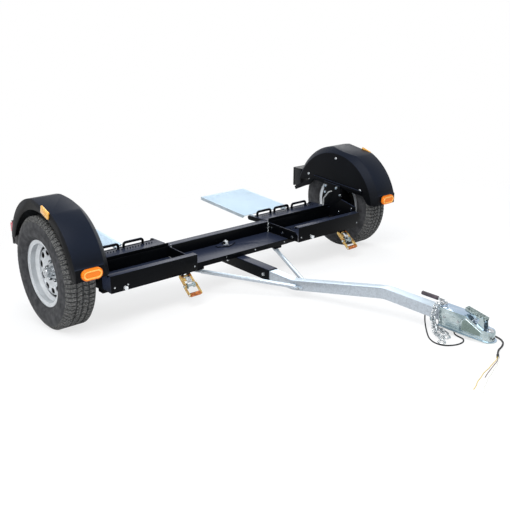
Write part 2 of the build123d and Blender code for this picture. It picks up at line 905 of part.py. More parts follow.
with BuildPart() as pivot_plate:
    with BuildSketch(level(floor_height)):
        with BuildLine():
            long_half = pivot_plate_length / 2
            short_half = pivot_plate_width / 2
            Polyline(
                (-long_half, pivot_y - 12),
                (-long_half, pivot_y + 12),
                (-14, pivot_y + short_half),
                (14, pivot_y + short_half),
                (long_half, pivot_y + 12),
                (long_half, pivot_y - 12),
                (14, pivot_y - short_half),
                (-14, pivot_y - short_half),
                close=True,
            )
        make_face()
        with Locations((0, pivot_y)):
            Circle(pivot_radius + fit_gap, mode=Mode.SUBTRACT)
    extrude(amount=pivot_plate_thickness)
save(pivot_plate.part, "pivot_plate")

with BuildPart() as pivot_bolt:
    plate_top = floor_height + pivot_plate_thickness
    with BuildSketch(level(plate_top)):
        with Locations((0, pivot_y)):
            Circle(pivot_nut_across * 0.72)
    extrude(amount=3)
    with BuildSketch(level(plate_top + 3)):
        with Locations((0, pivot_y)):
            RegularPolygon(pivot_nut_across / 2, 6, major_radius=False)
    extrude(amount=pivot_nut_height)
    with BuildSketch(level(sleeve_top + fit_gap)):
        with Locations((0, pivot_y)):
            Circle(pivot_radius)
    extrude(amount=plate_top - sleeve_top + pivot_nut_height + 8)
save(pivot_bolt.part, "pivot_bolt")

# Braces from brackets under the cross tube to the tongue's sides, with flattened ends
cross_tube_bottom = floor_height - fascia_height
bracket_bottom = cross_tube_bottom - brace_bracket_height
brace_z = bracket_bottom - fit_gap - brace_radius
bracket_y = -deck_front + sheet + cross_tube_depth / 2
with BuildPart() as brackets:
    with BuildSketch(level(bracket_bottom)):
        with Locations((-brace_top_x, bracket_y), (brace_top_x, bracket_y)):
            Rectangle(brace_bracket, cross_tube_depth)
    extrude(amount=brace_bracket_height)
save(brackets.part, "brace_brackets")

with BuildPart() as braces:
    for name, side in sides:
        top = at(side * brace_top_x, bracket_y, brace_z)
        run = at(side * brace_foot_x, brace_foot_y, brace_z) - top
        ahead = run.normalized()
        across = Plane(top, x_dir=ahead.cross(chassis.z_dir), z_dir=ahead)
        with BuildSketch(across.offset(brace_flat_length / 2)):
            Circle(brace_radius)
            Circle(brace_radius - brace_wall, mode=Mode.SUBTRACT)
        extrude(amount=run.length - brace_flat_length)
        for start in (-brace_flat_length / 2, run.length - brace_flat_length / 2 - brace_overlap):
            with BuildSketch(across.offset(start)):
                Rectangle(brace_flat_width, brace_flat)
            extrude(amount=brace_flat_length + brace_overlap)
    with BuildSketch(upright(-tongue_width / 2 - fit_gap)):
        with Locations((brace_foot_y, brace_z)):
            Rectangle(6 * brace_flat_length, 8 * brace_radius)
    extrude(amount=tongue_width + 2 * fit_gap, mode=Mode.SUBTRACT)
save(braces.part, "tongue_braces")

# Bright knobs on the trays' front rails
with BuildPart() as knobs:
    with BuildSketch(crosswise(-tray_front)):
        with Locations(*[(place, knob_height) for place in knob_places]):
            Circle(knob_radius)
    extrude(amount=knob_length)
save(knobs.part, "tray_knobs")

# Coupler: a stamped channel over the tongue's end with a socket for the ball in its nose
tongue_top = tongue_top_level + tongue_width / 2
coupler_top = tongue_top + coupler_roof
socket_radius = ball_radius + socket_clearance
nose_top = coupler_base + socket_depth + socket_radius + coupler_nose_roof
channel_half = tongue_width / 2 + fit_gap
shell_half = channel_half + coupler_wall


def coupler_plan(reach):
    """The coupler's outline from above, with its sides and nose moved out by reach."""
    rear_length = coupler_rear - coupler_shoulder_y
    with Locations((0, coupler_rear - rear_length / 2)):
        Rectangle(2 * (shell_half + reach), rear_length)
    with Locations((0, ball_y)):
        Circle(socket_radius + coupler_wall + reach)
    make_hull()


with BuildPart() as coupler:
    with BuildSketch(level(coupler_base)):
        coupler_plan(0)
    extrude(amount=coupler_top - coupler_base)
    with BuildSketch(upright(-2 * shell_half)):
        with BuildLine():
            nose_end = ball_y - socket_radius - coupler_wall
            roof = Polyline(
                (coupler_rear, coupler_base),
                (coupler_rear, coupler_top),
                (coupler_shoulder_y, coupler_top),
                (ball_y + 16, nose_top),
                (ball_y, nose_top),
            )
            nose = ThreePointArc(
                roof @ 1,
                (ball_y - 0.72 * (socket_radius + coupler_wall), nose_top - 9),
                (nose_end, coupler_base + socket_depth),
            )
            Polyline(nose @ 1, (nose_end, coupler_base), roof @ 0)
        make_face()
    extrude(amount=4 * shell_half, mode=Mode.INTERSECT)
    with BuildSketch(level(coupler_base)):
        coupler_plan(coupler_flange_reach)
    extrude(amount=coupler_flange)
    with BuildSketch(level(coupler_base)):
        with Locations((0, (coupler_rear + tongue_end) / 2)):
            Rectangle(2 * channel_half, coupler_rear - tongue_end + 2)
    extrude(amount=tongue_top + fit_gap - coupler_base, mode=Mode.SUBTRACT)
    with BuildSketch(level(coupler_base)):
        with Locations((0, ball_y)):
            Circle(socket_radius)
    extrude(amount=socket_depth, mode=Mode.SUBTRACT)
    with BuildSketch(crosswise(ball_y)):
        with Locations((0, coupler_base + socket_depth)):
            Circle(socket_radius)
            with Locations((-socket_radius, 0)):
                Rectangle(2 * socket_radius, 2 * socket_radius, mode=Mode.SUBTRACT)
    revolve(axis=Axis(at(0, ball_y, coupler_base), chassis.z_dir), mode=Mode.SUBTRACT)
    with BuildSketch(level(tongue_top)):
        with Locations((0, pin_y)):
            Circle(pin_radius + fit_gap)
    extrude(amount=coupler_roof + 1, mode=Mode.SUBTRACT)
    ear_inside = latch_width / 2 + latch_gap
    for x in (-ear_inside - latch_ear, ear_inside):
        with BuildSketch(upright(x)):
            with Locations((latch_pivot_y, latch_pivot_z)):
                Circle(latch_ear_radius)
            with BuildLine():
                Polyline(
                    (latch_pivot_y - latch_ear_radius, latch_pivot_z),
                    (latch_pivot_y - latch_ear_radius - 8, nose_top - 6),
                    (latch_pivot_y + latch_ear_radius + 22, nose_top - 6),
                    (latch_pivot_y + latch_ear_radius, latch_pivot_z),
                    close=True,
                )
            make_face()
        extrude(amount=latch_ear)
    with BuildSketch(upright(-ear_inside)):
        with Locations((latch_pivot_y, latch_pivot_z)):
            Circle(latch_pin_radius)
    extrude(amount=2 * ear_inside)
save(coupler.part, "coupler")

with BuildPart() as latch:
    for x in (-latch_width / 2, latch_width / 2 - latch_sheet):
        with BuildSketch(upright(x)):
            with BuildLine():
                Polyline(
                    (latch_pivot_y - 16, latch_pivot_z - 8),
                    (latch_pivot_y - 20, latch_pivot_z + 8),
                    (latch_pivot_y - 16 + latch_length, latch_pivot_z + 31),
                    (latch_pivot_y - 16 + latch_length, latch_pivot_z + 31 - latch_rise),
                    (latch_pivot_y + 8, latch_pivot_z - 9),
                    close=True,
                )
            make_face()
            with Locations((latch_pivot_y, latch_pivot_z)):
                Circle(latch_pin_radius + spindle_clearance, mode=Mode.SUBTRACT)
        extrude(amount=latch_sheet)
    with BuildSketch(upright(-latch_width / 2)):
        with BuildLine():
            Polyline(
                (latch_pivot_y - 20, latch_pivot_z + 8),
                (latch_pivot_y - 16 + latch_length, latch_pivot_z + 31),
                (latch_pivot_y - 16 + latch_length, latch_pivot_z + 31 - latch_sheet),
                (latch_pivot_y - 20, latch_pivot_z + 8 - latch_sheet),
                close=True,
            )
        make_face()
    extrude(amount=latch_width)
save(latch.part, "coupler_latch")

# Pull pin: a bent rod through the coupler's roof and the tongue, with a vinyl grip
with BuildPart() as pull_pin:
    with BuildLine() as pin_path:
        FilletPolyline(
            at(0, grip_rear - grip_length / 3, pin_height),
            at(0, pin_y, pin_height),
            at(0, pin_y, tongue_top - 2 * tongue_wall),
            radius=pin_bend,
        )
    with BuildSketch(Plane(pin_path.line @ 0, z_dir=pin_path.line % 0)):
        Circle(pin_radius)
    sweep(path=pin_path.line)
save(pull_pin.part, "pull_pin")

with BuildPart() as grip:
    with BuildSketch(crosswise(grip_rear)):
        with Locations((0, pin_height)):
            Circle(grip_radius)
    extrude(amount=grip_length)
    fillet(grip.edges(), radius=4)
    with BuildSketch(crosswise(grip_rear - grip_length / 3)):
        with Locations((0, pin_height)):
            Circle(pin_radius)
    extrude(amount=grip_length, mode=Mode.SUBTRACT)
save(grip.part, "pull_pin_grip")

# Ratchet winches: a frame hung from a bracket under each tray's rail
lean = radians(ratchet_lean)
ratchet_run = -chassis.y_dir * cos(lean) - chassis.z_dir * sin(lean)


def along_ratchet(x):
    """Plane facing +X through a ratchet's top bolt: local x runs down its length."""
    return Plane(at(x, ratchet_y, ratchet_z), x_dir=ratchet_run, z_dir=(1, 0, 0))


with BuildPart() as frames:
    for place in ratchet_places:
        for x in (-ratchet_half_width, ratchet_half_width - ratchet_plate):
            with BuildSketch(along_ratchet(place + x)):
                with Locations((ratchet_spool_place / 2, 0)):
                    SlotCenterToCenter(ratchet_spool_place, ratchet_plate_width)
                with Locations((ratchet_spool_place, 0)):
                    Circle(ratchet_shaft + spindle_clearance, mode=Mode.SUBTRACT)
            extrude(amount=ratchet_plate)
        with BuildSketch(along_ratchet(place - ratchet_half_width)):
            with Locations((hanger_nose + ratchet_web / 2 + 5, (ratchet_plate - ratchet_plate_width) / 2)):
                Rectangle(ratchet_web, ratchet_plate)
            Circle(hanger_bolt)
        extrude(amount=2 * ratchet_half_width)
save(frames.part, "ratchet_frames")

with BuildPart() as hangers:
    for place in ratchet_places:
        for x in (-hanger_width / 2, hanger_width / 2 - ratchet_plate):
            with BuildSketch(upright(place + x)):
                with BuildLine():
                    Polyline(
                        (ratchet_y - hanger_nose - 4, deck_underside),
                        (ratchet_y + hanger_nose + 4, deck_underside),
                        (ratchet_y + hanger_nose, ratchet_z),
                        (ratchet_y - hanger_nose, ratchet_z),
                        close=True,
                    )
                make_face()
                with Locations((ratchet_y, ratchet_z)):
                    Circle(hanger_nose)
                    Circle(hanger_bolt + fit_gap, mode=Mode.SUBTRACT)
            extrude(amount=ratchet_plate)
save(hangers.part, "ratchet_hangers")

# Each ratchet's spool with its toothed wheels, and the handle round the spool's ends
handle_inside = ratchet_half_width + ratchet_gap
for (name, side), place in zip(sides, ratchet_places):
    with BuildPart() as spool:
        spool_half = handle_inside + 2 * ratchet_plate
        with BuildSketch(along_ratchet(place - spool_half)):
            with Locations((ratchet_spool_place, 0)):
                Circle(ratchet_shaft)
        extrude(amount=2 * spool_half)
        wheel_inside = ratchet_half_width - ratchet_plate - ratchet_gap - ratchet_wheel_width
        for x in (-wheel_inside - ratchet_wheel_width, wheel_inside):
            with BuildSketch(along_ratchet(place + x)):
                with Locations((ratchet_spool_place, 0)):
                    Circle(ratchet_wheel)
                    with PolarLocations(ratchet_wheel, tooth_count):
                        Rectangle(tooth_depth, tooth_depth * 0.7, rotation=40, mode=Mode.SUBTRACT)
            extrude(amount=ratchet_wheel_width)
    save(spool.part, f"{name}_ratchet_spool")

    with BuildPart() as handle:
        for x in (-handle_inside - ratchet_plate, handle_inside):
            with BuildSketch(along_ratchet(place + x)):
                with Locations((ratchet_spool_place + handle_length / 2, 0)):
                    SlotCenterToCenter(handle_length, handle_width)
                with Locations((ratchet_spool_place, 0)):
                    Circle(ratchet_shaft + spindle_clearance, mode=Mode.SUBTRACT)
            extrude(amount=ratchet_plate)
        with BuildSketch(along_ratchet(place - handle_inside)):
            with Locations((ratchet_spool_place + handle_length, 0)):
                Circle(handle_grip)
        extrude(amount=2 * handle_inside)
    save(handle.part, f"{name}_ratchet_handle")

# Safety chains: one over the tongue behind the coupler, one from a staple under it, both ending
# in hooks on the floor. Their routes are measured from the axle line, with z up from the floor.
tongue_bottom = tongue_top_level - tongue_width / 2
with BuildPart() as staple:
    with BuildLine() as wire:
        FilletPolyline(
            at(-staple_half, staple_y, tongue_bottom),
            at(-staple_half, staple_y, tongue_bottom - staple_drop),
            at(staple_half, staple_y, tongue_bottom - staple_drop),
            at(staple_half, staple_y, tongue_bottom),
            radius=staple_bend,
        )
    with BuildSketch(Plane(wire.line @ 0, z_dir=wire.line % 0)):
        Circle(staple_rod)
    sweep(path=wire.line)
save(staple.part, "chain_staple")

half_long = chain_pitch / 2 + chain_wire + chain_slack
half_wide = chain_inner_width / 2 + chain_wire
round_off = half_wide * 0.4
with BuildPart() as link:
    with BuildLine() as ring:
        Polyline(
            (-half_long, round_off - half_wide),
            (-half_long + round_off, -half_wide),
            (half_long - round_off, -half_wide),
            (half_long, round_off - half_wide),
            (half_long, half_wide - round_off),
            (half_long - round_off, half_wide),
            (-half_long + round_off, half_wide),
            (-half_long, half_wide - round_off),
            close=True,
        )
    with BuildSketch(Plane((0, -half_wide, 0), z_dir=(1, 0, 0))):
        RegularPolygon(chain_wire, 6)
    sweep(path=ring.line, transition=Transition.RIGHT)

with BuildPart() as hook:
    add(link.part.moved(Location((chain_pitch / 2, 0, 0))))
    with BuildLine() as shank:
        FilletPolyline(
            (chain_pitch + chain_wire, 0, 0),
            (hook_length, 0, 0),
            (hook_length, hook_mouth, 0),
            (hook_length - hook_tip, hook_mouth, 0),
            radius=hook_mouth * 0.48,
        )
    with BuildSketch(Plane(shank.line @ 0, z_dir=shank.line % 0)):
        Circle(hook_wire)
    sweep(path=shank.line)

on_floor = half_wide + chain_wire + fit_gap
chain_crest = at(0, chain_y, tongue_top).Z + half_wide + chain_wire + chain_over
staple_low = at(0, staple_y, tongue_bottom - staple_drop) - Vector(0, axle_y, 0)
over_tongue = (
    (34, -1824, on_floor),
    (54, -1761, on_floor),
    (54, -1767, chain_crest + 10),
    (0, -1768, chain_crest),
    (-54, -1767, chain_crest + 10),
    (-54, -1761, on_floor),
    (-92, -1812, on_floor),
    (-114, -1848, on_floor),
)
from_staple = (
    (0, staple_low.Y, staple_low.Z + staple_rod),
    (0, staple_low.Y, on_floor),
    (-26, -1772, on_floor),
    (-48, -1822, on_floor),
)
# Each chain: its route, the radii of its bends, a direction across it, and its first link's roll
chain_courses = (
    (over_tongue, (44, 43, 60, 43, 44, 60), (0, 1, 0), 45),
    (from_staple, (36, 60), (1, 0, 0), 90),
)


def beside_axle(route):
    """Points measured from the axle line, as points of the part."""
    return [Vector(x, y + axle_y, z) for x, y, z in route]


link_planes = []
hook_planes = []
for route, bends, sideways, first_roll in chain_courses:
    chain_path = FilletPolyline(*beside_axle(route), radius=list(bends))
    joints = [chain_path @ 0]
    travelled = 0
    while travelled < chain_path.length:
        reached = chain_path.position_at(travelled, position_mode=PositionMode.LENGTH)
        if (reached - joints[-1]).length >= chain_pitch:
            joints.append(reached)
        travelled += 0.2
    last = len(joints) - 2
    drift = (90 - first_roll - 90 * last + 90) % 180 - 90
    for index, (start, end) in enumerate(zip(joints, joints[1:])):
        along = (end - start).normalized()
        roll = first_roll + index * (90 + drift / last)
        rolled = along.cross(Vector(sideways)).rotate(Axis((0, 0, 0), along), roll)
        link_planes.append(Plane((start + end) / 2, x_dir=along, z_dir=rolled))
    downward = Vector(along.X * hook_length, along.Y * hook_length, hook_wire + fit_gap - end.Z)
    hook_planes.append(Plane(end, x_dir=downward, z_dir=downward.cross(Vector(along.Y, -along.X, 0))))

with BuildPart() as chains:
    with Locations(*[plane.location for plane in link_planes]):
        add(link.part)
save(chains.part, "safety_chains")

with BuildPart() as hooks:
    with Locations(*[plane.location for plane in hook_planes]):
        add(hook.part)
save(hooks.part, "chain_hooks")


# Cords: straight runs joined by arcs, each as large as the two runs beside it allow
def cord(route, radius, label):
    """A free cord through points measured from the axle line."""
    points = beside_axle(route)
    runs = [end - start for start, end in zip(points, points[1:])]
    bends = []
    for before, after in zip(runs, runs[1:]):
        half_turn = radians(before.get_angle(after)) / 2
        bends.append(0.45 * min(before.length, after.length) / tan(half_turn))
    path = FilletPolyline(*points, radius=bends)
    with BuildPart() as tube:
        with BuildSketch(Plane(path @ 0, z_dir=path % 0)):
            Circle(radius)
        sweep(path=path)
    save(tube.part, label)
    print(label, "arc radii", [round(bend) for bend in bends], "over", radius)
    print(label, "volume / section x length", round(tube.part.volume / (pi * radius**2 * path.length), 4))


# A rubber grommet in the tongue's side, and the wiring sheath that comes out of it
grommet_face = tongue_width / 2 + grommet_length
with BuildPart() as grommet:
    with BuildSketch(upright(tongue_width / 2)):
        with Locations((grommet_y, tongue_top_level)):
            Circle(grommet_radius)
    extrude(amount=grommet_length)
save(grommet.part, "wiring_grommet")

sheath_start = at(grommet_face, grommet_y, tongue_top_level) - Vector(0, axle_y, 0)
sheath_floor = sheath_radius + fit_gap
tape_floor = tape_radius + fit_gap
sheath_route = (
    tuple(sheath_start),
    tuple(sheath_start + Vector(24, 0, 0)),
    (76, -1732, 66),
    (86, -1750, 34),
    (94, -1782, 11),
    (97, -1830, sheath_floor),
    (90, -1885, sheath_floor),
    (84, -1945, sheath_floor),
    (74, -2004, sheath_floor),
    (56, -2058, sheath_floor),
    (20, -2104, sheath_floor),
    (-34, -2130, sheath_floor),
    (-88, -2142, tape_floor),
    (-135, -2172, tape_floor),
)
cord(sheath_route, sheath_radius, "wiring_sheath")
tape_end = (-160, -2188, tape_floor)
with BuildPart() as tape:
    tape_start, tape_stop = beside_axle((sheath_route[-1], tape_end))
    with BuildSketch(Plane(tape_start, z_dir=tape_stop - tape_start)):
        Circle(tape_radius)
    extrude(amount=(tape_stop - tape_start).length)
save(tape.part, "wiring_tape")

# Three bared wires fan out of the tape.
wire_floor = wire_radius + fit_gap
wire_routes = (
    (
        "wire_white",
        (-158.6, -2190.2, 9.3),
        (-183.9, -2206.4, 9.3),
        (-226, -2228, wire_floor),
        (-274, -2240, wire_floor),
        (-322, -2262, wire_floor),
        (-372, -2276, wire_floor),
        (-420, -2300, wire_floor),
        (-466, -2318, wire_floor),
        (-502, -2341, wire_floor),
    ),
    (
        "wire_yellow",
        (-161.4, -2185.8, 9.3),
        (-186.7, -2202, 9.3),
        (-234, -2206, wire_floor),
        (-284, -2222, wire_floor),
        (-334, -2230, wire_floor),
        (-384, -2250, wire_floor),
        (-428, -2262, wire_floor),
        (-468, -2284, wire_floor),
        (-501, -2294, wire_floor),
    ),
    (
        "wire_brown",
        (-160, -2188, 3.6),
        (-185.3, -2204.2, 3.6),
        (-236, -2217, wire_floor),
        (-286, -2233, wire_floor),
        (-330, -2246, wire_floor),
        (-372, -2262, wire_floor),
    ),
)
for label, *route in wire_routes:
    cord(route, wire_radius, label)

# A loop of loom hangs from under the tongue, lies on the floor and goes back up to the coupler.
loom_floor = loom_radius + fit_gap
loom_out = at(loom_x, loom_start, tongue_bottom) - Vector(0, axle_y, 0)
loom_back = at(-coupler_lip, loom_end, coupler_base) - Vector(0, axle_y, 0)
loom_route = (
    tuple(loom_out),
    tuple(loom_out - chassis.z_dir * 22),
    (-22, -1686, 30),
    (-50, -1712, 13),
    (-92, -1752, loom_floor),
    (-140, -1800, loom_floor),
    (-174, -1856, loom_floor),
    (-178, -1914, loom_floor),
    (-140, -1952, loom_floor),
    (-92, -1960, loom_floor),
    (-54, -1938, loom_floor),
    (-42, -1912, loom_floor),
    (-38, -1889, 6),
    tuple(loom_back - chassis.z_dir * 14),
    tuple(loom_back),
)
cord(loom_route, loom_radius, "loom_loop")

# Brake hoses rise from the shelves to the inner face of each hub carrier.
hose_foot = beam_half_length - hose_inset
with BuildPart() as hoses:
    for name, side in sides:
        with BuildLine() as wire:
            FilletPolyline(
                at(side * hose_foot, hose_y, shelf_top),
                at(side * hose_foot, hose_y, hose_top),
                at(side * (hose_foot + hose_step), hose_y - hose_reach, hose_top + hose_rise),
                at(side * beam_half_length, hose_y - hose_reach, hose_top + hose_rise),
                radius=hose_bend,
            )
        with BuildSketch(Plane(wire.line @ 0, z_dir=wire.line % 0)):
            Circle(hose_radius)
        sweep(path=wire.line)
save(hoses.part, "brake_hoses")
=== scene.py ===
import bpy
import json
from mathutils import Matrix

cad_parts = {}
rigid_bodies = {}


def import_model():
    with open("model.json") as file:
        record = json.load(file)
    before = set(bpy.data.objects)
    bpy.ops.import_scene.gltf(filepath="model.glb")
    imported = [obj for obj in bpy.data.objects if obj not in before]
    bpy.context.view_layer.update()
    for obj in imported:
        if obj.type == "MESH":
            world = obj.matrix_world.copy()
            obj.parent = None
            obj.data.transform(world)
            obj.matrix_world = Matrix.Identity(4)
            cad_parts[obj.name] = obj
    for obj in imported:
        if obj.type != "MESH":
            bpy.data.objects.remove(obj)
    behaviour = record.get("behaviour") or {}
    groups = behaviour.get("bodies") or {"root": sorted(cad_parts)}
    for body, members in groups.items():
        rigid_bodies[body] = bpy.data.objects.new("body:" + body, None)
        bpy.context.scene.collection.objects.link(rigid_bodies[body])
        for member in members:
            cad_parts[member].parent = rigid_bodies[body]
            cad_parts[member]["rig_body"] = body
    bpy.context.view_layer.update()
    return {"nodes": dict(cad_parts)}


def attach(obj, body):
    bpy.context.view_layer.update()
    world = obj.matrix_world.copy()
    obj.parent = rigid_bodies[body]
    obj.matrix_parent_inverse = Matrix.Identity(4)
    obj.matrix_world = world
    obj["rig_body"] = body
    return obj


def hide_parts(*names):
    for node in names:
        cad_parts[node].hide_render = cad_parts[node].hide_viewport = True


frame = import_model()

import json
from math import atan2, cos, pi, radians, sin, sqrt, tan

import bmesh
import bpy
from bpy.props import FloatProperty, FloatVectorProperty, IntProperty, PointerProperty
from bpy.types import Operator, Panel, PropertyGroup
from mathutils import Matrix, Vector

bl_info = {
    "name": "Car tow dolly",
    "version": (1, 0, 0),
    "blender": (4, 5, 0),
    "location": "3D View > Sidebar > Tow dolly",
    "description": "Dresses the tow dolly's frame with its finished pieces and materials",
    "category": "Object",
}


def shift(x, y, z):
    return Matrix.Translation((x, y, z))


def spin(angle, axis):
    return Matrix.Rotation(angle, 4, axis)


# The dolly stands nose down on its tyres and its coupler, turned about its axle line. Pieces are
# drawn in millimetres with the deck level: x to the left side, y to the rear from the axle line,
# z up from the tyres' contact line. CHASSIS takes such a point to the frame, in metres.
AXLE_Y = 0.65827
TYRE_RADIUS = 331.5
NOSE_DOWN = radians(7.7578)
TO_METRES = Matrix.Scale(0.001, 4)
AXLE = shift(0, AXLE_Y, TYRE_RADIUS / 1000)
CHASSIS = AXLE @ spin(NOSE_DOWN, "X") @ shift(0, 0, -TYRE_RADIUS / 1000) @ TO_METRES
# Turns a lathe's x axis up, so that a profile of (height, radius) stands on z = 0
UPRIGHT = spin(-pi / 2, "Y")

SIDES = (("left", 1), ("right", -1))
WHEEL_X = 1200.5
STUD_CIRCLE = 57.15
VENT_CIRCLE = 112
FENDER_INNER = 1064.0
CARRIER_INNER = 1040
DECK_HALF = 418.0
TRAY_STARTS = (424.0, -1020.0)
TRAY_LENGTH = 596.0
FLOOR_HEIGHT = 240.0
SHELF_TOP = 318.0
RAMP_ROD = (205.0, 298.0)
RAMP_RISE = radians(3.6)
RAMP_TOP_ABOVE_ROD = 13
MARKER_X, MARKER_Z = 1190, 432
MARKER_PANEL, MARKER_FACE = -417, -439
TAIL_X, TAIL_REAR = 1171.5, 460.3
COUPLER_HALF = 37.05
COUPLER_SHOULDER = -1950
COUPLER_TAPER = 0.0573
LATCH_PIN_Y = -2026
TONGUE_HALF = 38
CHAIN_PITCH = 25.0
HOOK_LENGTH = 68


def hex_colour(text):
    """Turn an sRGB hex colour into Blender's linear one."""
    channels = [int(text[i : i + 2], 16) / 255 for i in (0, 2, 4)]
    return [c / 12.92 if c <= 0.04045 else ((c + 0.055) / 1.055) ** 2.4 for c in channels] + [1.0]


def colour_prop(name, description, text):
    return FloatVectorProperty(
        name=name, description=description, subtype="COLOR", size=4, min=0, max=1, default=hex_colour(text)
    )


def length_prop(name, description, metres):
    return FloatProperty(name=name, description=description, default=metres, unit="LENGTH")


class TowDollySizes(PropertyGroup):
    edge_round: length_prop("Edge round", "Round on the edges of plates and tubes", 0.0012)
    tread_pitches: IntProperty(name="Tread pitches", description="Tread blocks round each tyre", default=76)
    tread_depth: length_prop("Tread depth", "Height of the tread blocks", 0.0075)
    bolt_across: length_prop("Bolt size", "Across the flats of the bolt heads", 0.019)
    mesh_pitch: length_prop("Ramp mesh pitch", "Spacing of the ramps' raised diamonds", 0.0125)
    link_wire: length_prop("Chain wire", "Radius of the chain links' wire", 0.0037)


class TowDollyColours(PropertyGroup):
    powder_coat: colour_prop("Powder coat", "Bed, trays and carriers", "050608")
    moulded_black: colour_prop("Fenders", "Moulded fenders", "050608")
    galvanised: colour_prop("Galvanised steel", "Tongue and braces", "b9c1c9")
    zinc: colour_prop("Zinc plate", "Coupler, staple and spools", "bcc9ca")
    gold_zinc: colour_prop("Yellow zinc", "Ratchet winches", "dcc27c")
    wheel_silver: colour_prop("Wheel silver", "Painted rims", "d3d7da")
    rubber: colour_prop("Tyre rubber", "Tyres' carcasses", "2a2b2d")
    amber: colour_prop("Amber lens", "Marker lamps", "e86e00")
    red: colour_prop("Red lens", "Tail lamps", "b5183a")
    # The ramp colour is a painted sky reflection on the ramps' upper faces
    ramp: colour_prop("Ramp steel", "Ramp plates", "b4cada")


class TowDollyStage(PropertyGroup):
    sky: FloatProperty(name="Sky strength", description="Strength of the even studio light", default=0.72)
    key: FloatProperty(
        name="Key light", description="Power of the large lamp overhead, in watts", default=190
    )
    fill: FloatProperty(name="Fill light", description="Power of the lamp in front, in watts", default=60)


# Materials


def add(tree, kind, inputs=(), **settings):
    """Add a node with its settings; an input is a value or another node's output."""
    node = tree.nodes.new(kind)
    for name, value in settings.items():
        setattr(node, name, value)
    for key, value in dict(inputs).items():
        if isinstance(value, bpy.types.NodeSocket):
            tree.links.new(value, node.inputs[key])
        else:
            node.inputs[key].default_value = value
    return node


def empty_tree(owner):
    """Turn on the nodes of a material or a world, and clear them."""
    owner.use_nodes = True
    owner.node_tree.nodes.clear()
    return owner.node_tree


def remap(tree, value, low, high, to_low=0.0, to_high=1.0, **settings):
    """Stretch the span from low to high onto another, held at its ends."""
    spans = {"Value": value, "From Min": low, "From Max": high, "To Min": to_low, "To Max": to_high}
    return add(tree, "ShaderNodeMapRange", spans, **settings).outputs["Result"]


def maths(tree, operation, first, second):
    return add(tree, "ShaderNodeMath", {0: first, 1: second}, operation=operation).outputs[0]


def noise(tree, place, size_mm, detail, roughness):
    inputs = {"Vector": place, "Scale": 1000 / size_mm, "Detail": detail, "Roughness": roughness}
    return add(tree, "ShaderNodeTexNoise", inputs).outputs["Fac"]


def scaled(colour, factor):
    return [min(1, c * factor) for c in colour[:3]] + [1.0]


def blend_of(tree, share, first, second):
    """Mix two colours, each a value or another node's output; 6 and 7 are the mix's colour sockets."""
    return add(tree, "ShaderNodeMix", {"Factor": share, 6: first, 7: second}, data_type="RGBA").outputs[2]


def finish(name, colour, other, roughness, patch_mm, grain_mm, bump_mm, metallic=0.0, rough_swing=0.1,
           pattern="noise", patch_edges=(0.35, 0.65), film=None, film_edges=(0.35, 0.9), **shader):
    """A procedural finish: two colours in patches, a fine grain in its gloss and its relief.

    patch_mm and grain_mm are real sizes of the patches and the grain, bump_mm the grain's depth.
    A painted sky reflection can be laid on the faces that look up, in a colour of its own. Colours are sRGB
    hex or linear.
    """
    colour, other, film = (hex_colour(c) if isinstance(c, str) else c for c in (colour, other, film))
    material = bpy.data.materials.new(name)
    tree = empty_tree(material)
    place = add(tree, "ShaderNodeTexCoord").outputs["Object"]
    if pattern == "ribs":
        # Wave Texture's bands are 0.314 / scale apart
        bands = {"Vector": place, "Scale": 314 / grain_mm}
        grain = patches = add(tree, "ShaderNodeTexWave", bands, bands_direction="DIAGONAL").outputs["Fac"]
    else:
        grain = noise(tree, place, grain_mm, 3.0, 0.5)
        if pattern == "spangle":
            cells = add(tree, "ShaderNodeTexVoronoi", {"Vector": place, "Scale": 1000 / patch_mm})
            patches = add(tree, "ShaderNodeSeparateColor", {"Color": cells.outputs["Color"]}).outputs["Red"]
        else:
            patches = noise(tree, place, patch_mm, 5.0, 0.6)
    tone = blend_of(tree, remap(tree, patches, *patch_edges), colour, other)
    # Painted sky reflection: faces that look up blend into their own paler, bluer colour
    if film:
        normal = add(tree, "ShaderNodeTexCoord").outputs["Normal"]
        upward = add(tree, "ShaderNodeSeparateXYZ", {"Vector": normal}).outputs["Z"]
        sheen_share = remap(tree, upward, *film_edges, interpolation_type="SMOOTHSTEP")
        tone = blend_of(tree, sheen_share, tone, film)
    smoothest, roughest = max(0.05, roughness - rough_swing / 2), roughness + rough_swing / 2
    gloss = remap(tree, grain, 0.3, 0.7, smoothest, roughest)
    bump = {"Height": grain, "Distance": bump_mm / 1000, "Strength": 0.6}
    relief = add(tree, "ShaderNodeBump", bump).outputs["Normal"]
    inputs = {"Base Color": tone, "Roughness": gloss, "Normal": relief, "Metallic": metallic}
    for key, value in shader.items():
        inputs[key.replace("_", " ").title().replace("Ior", "IOR")] = value
    body = add(tree, "ShaderNodeBsdfPrincipled", inputs)
    add(tree, "ShaderNodeOutputMaterial", {"Surface": body.outputs[0]})
    return material


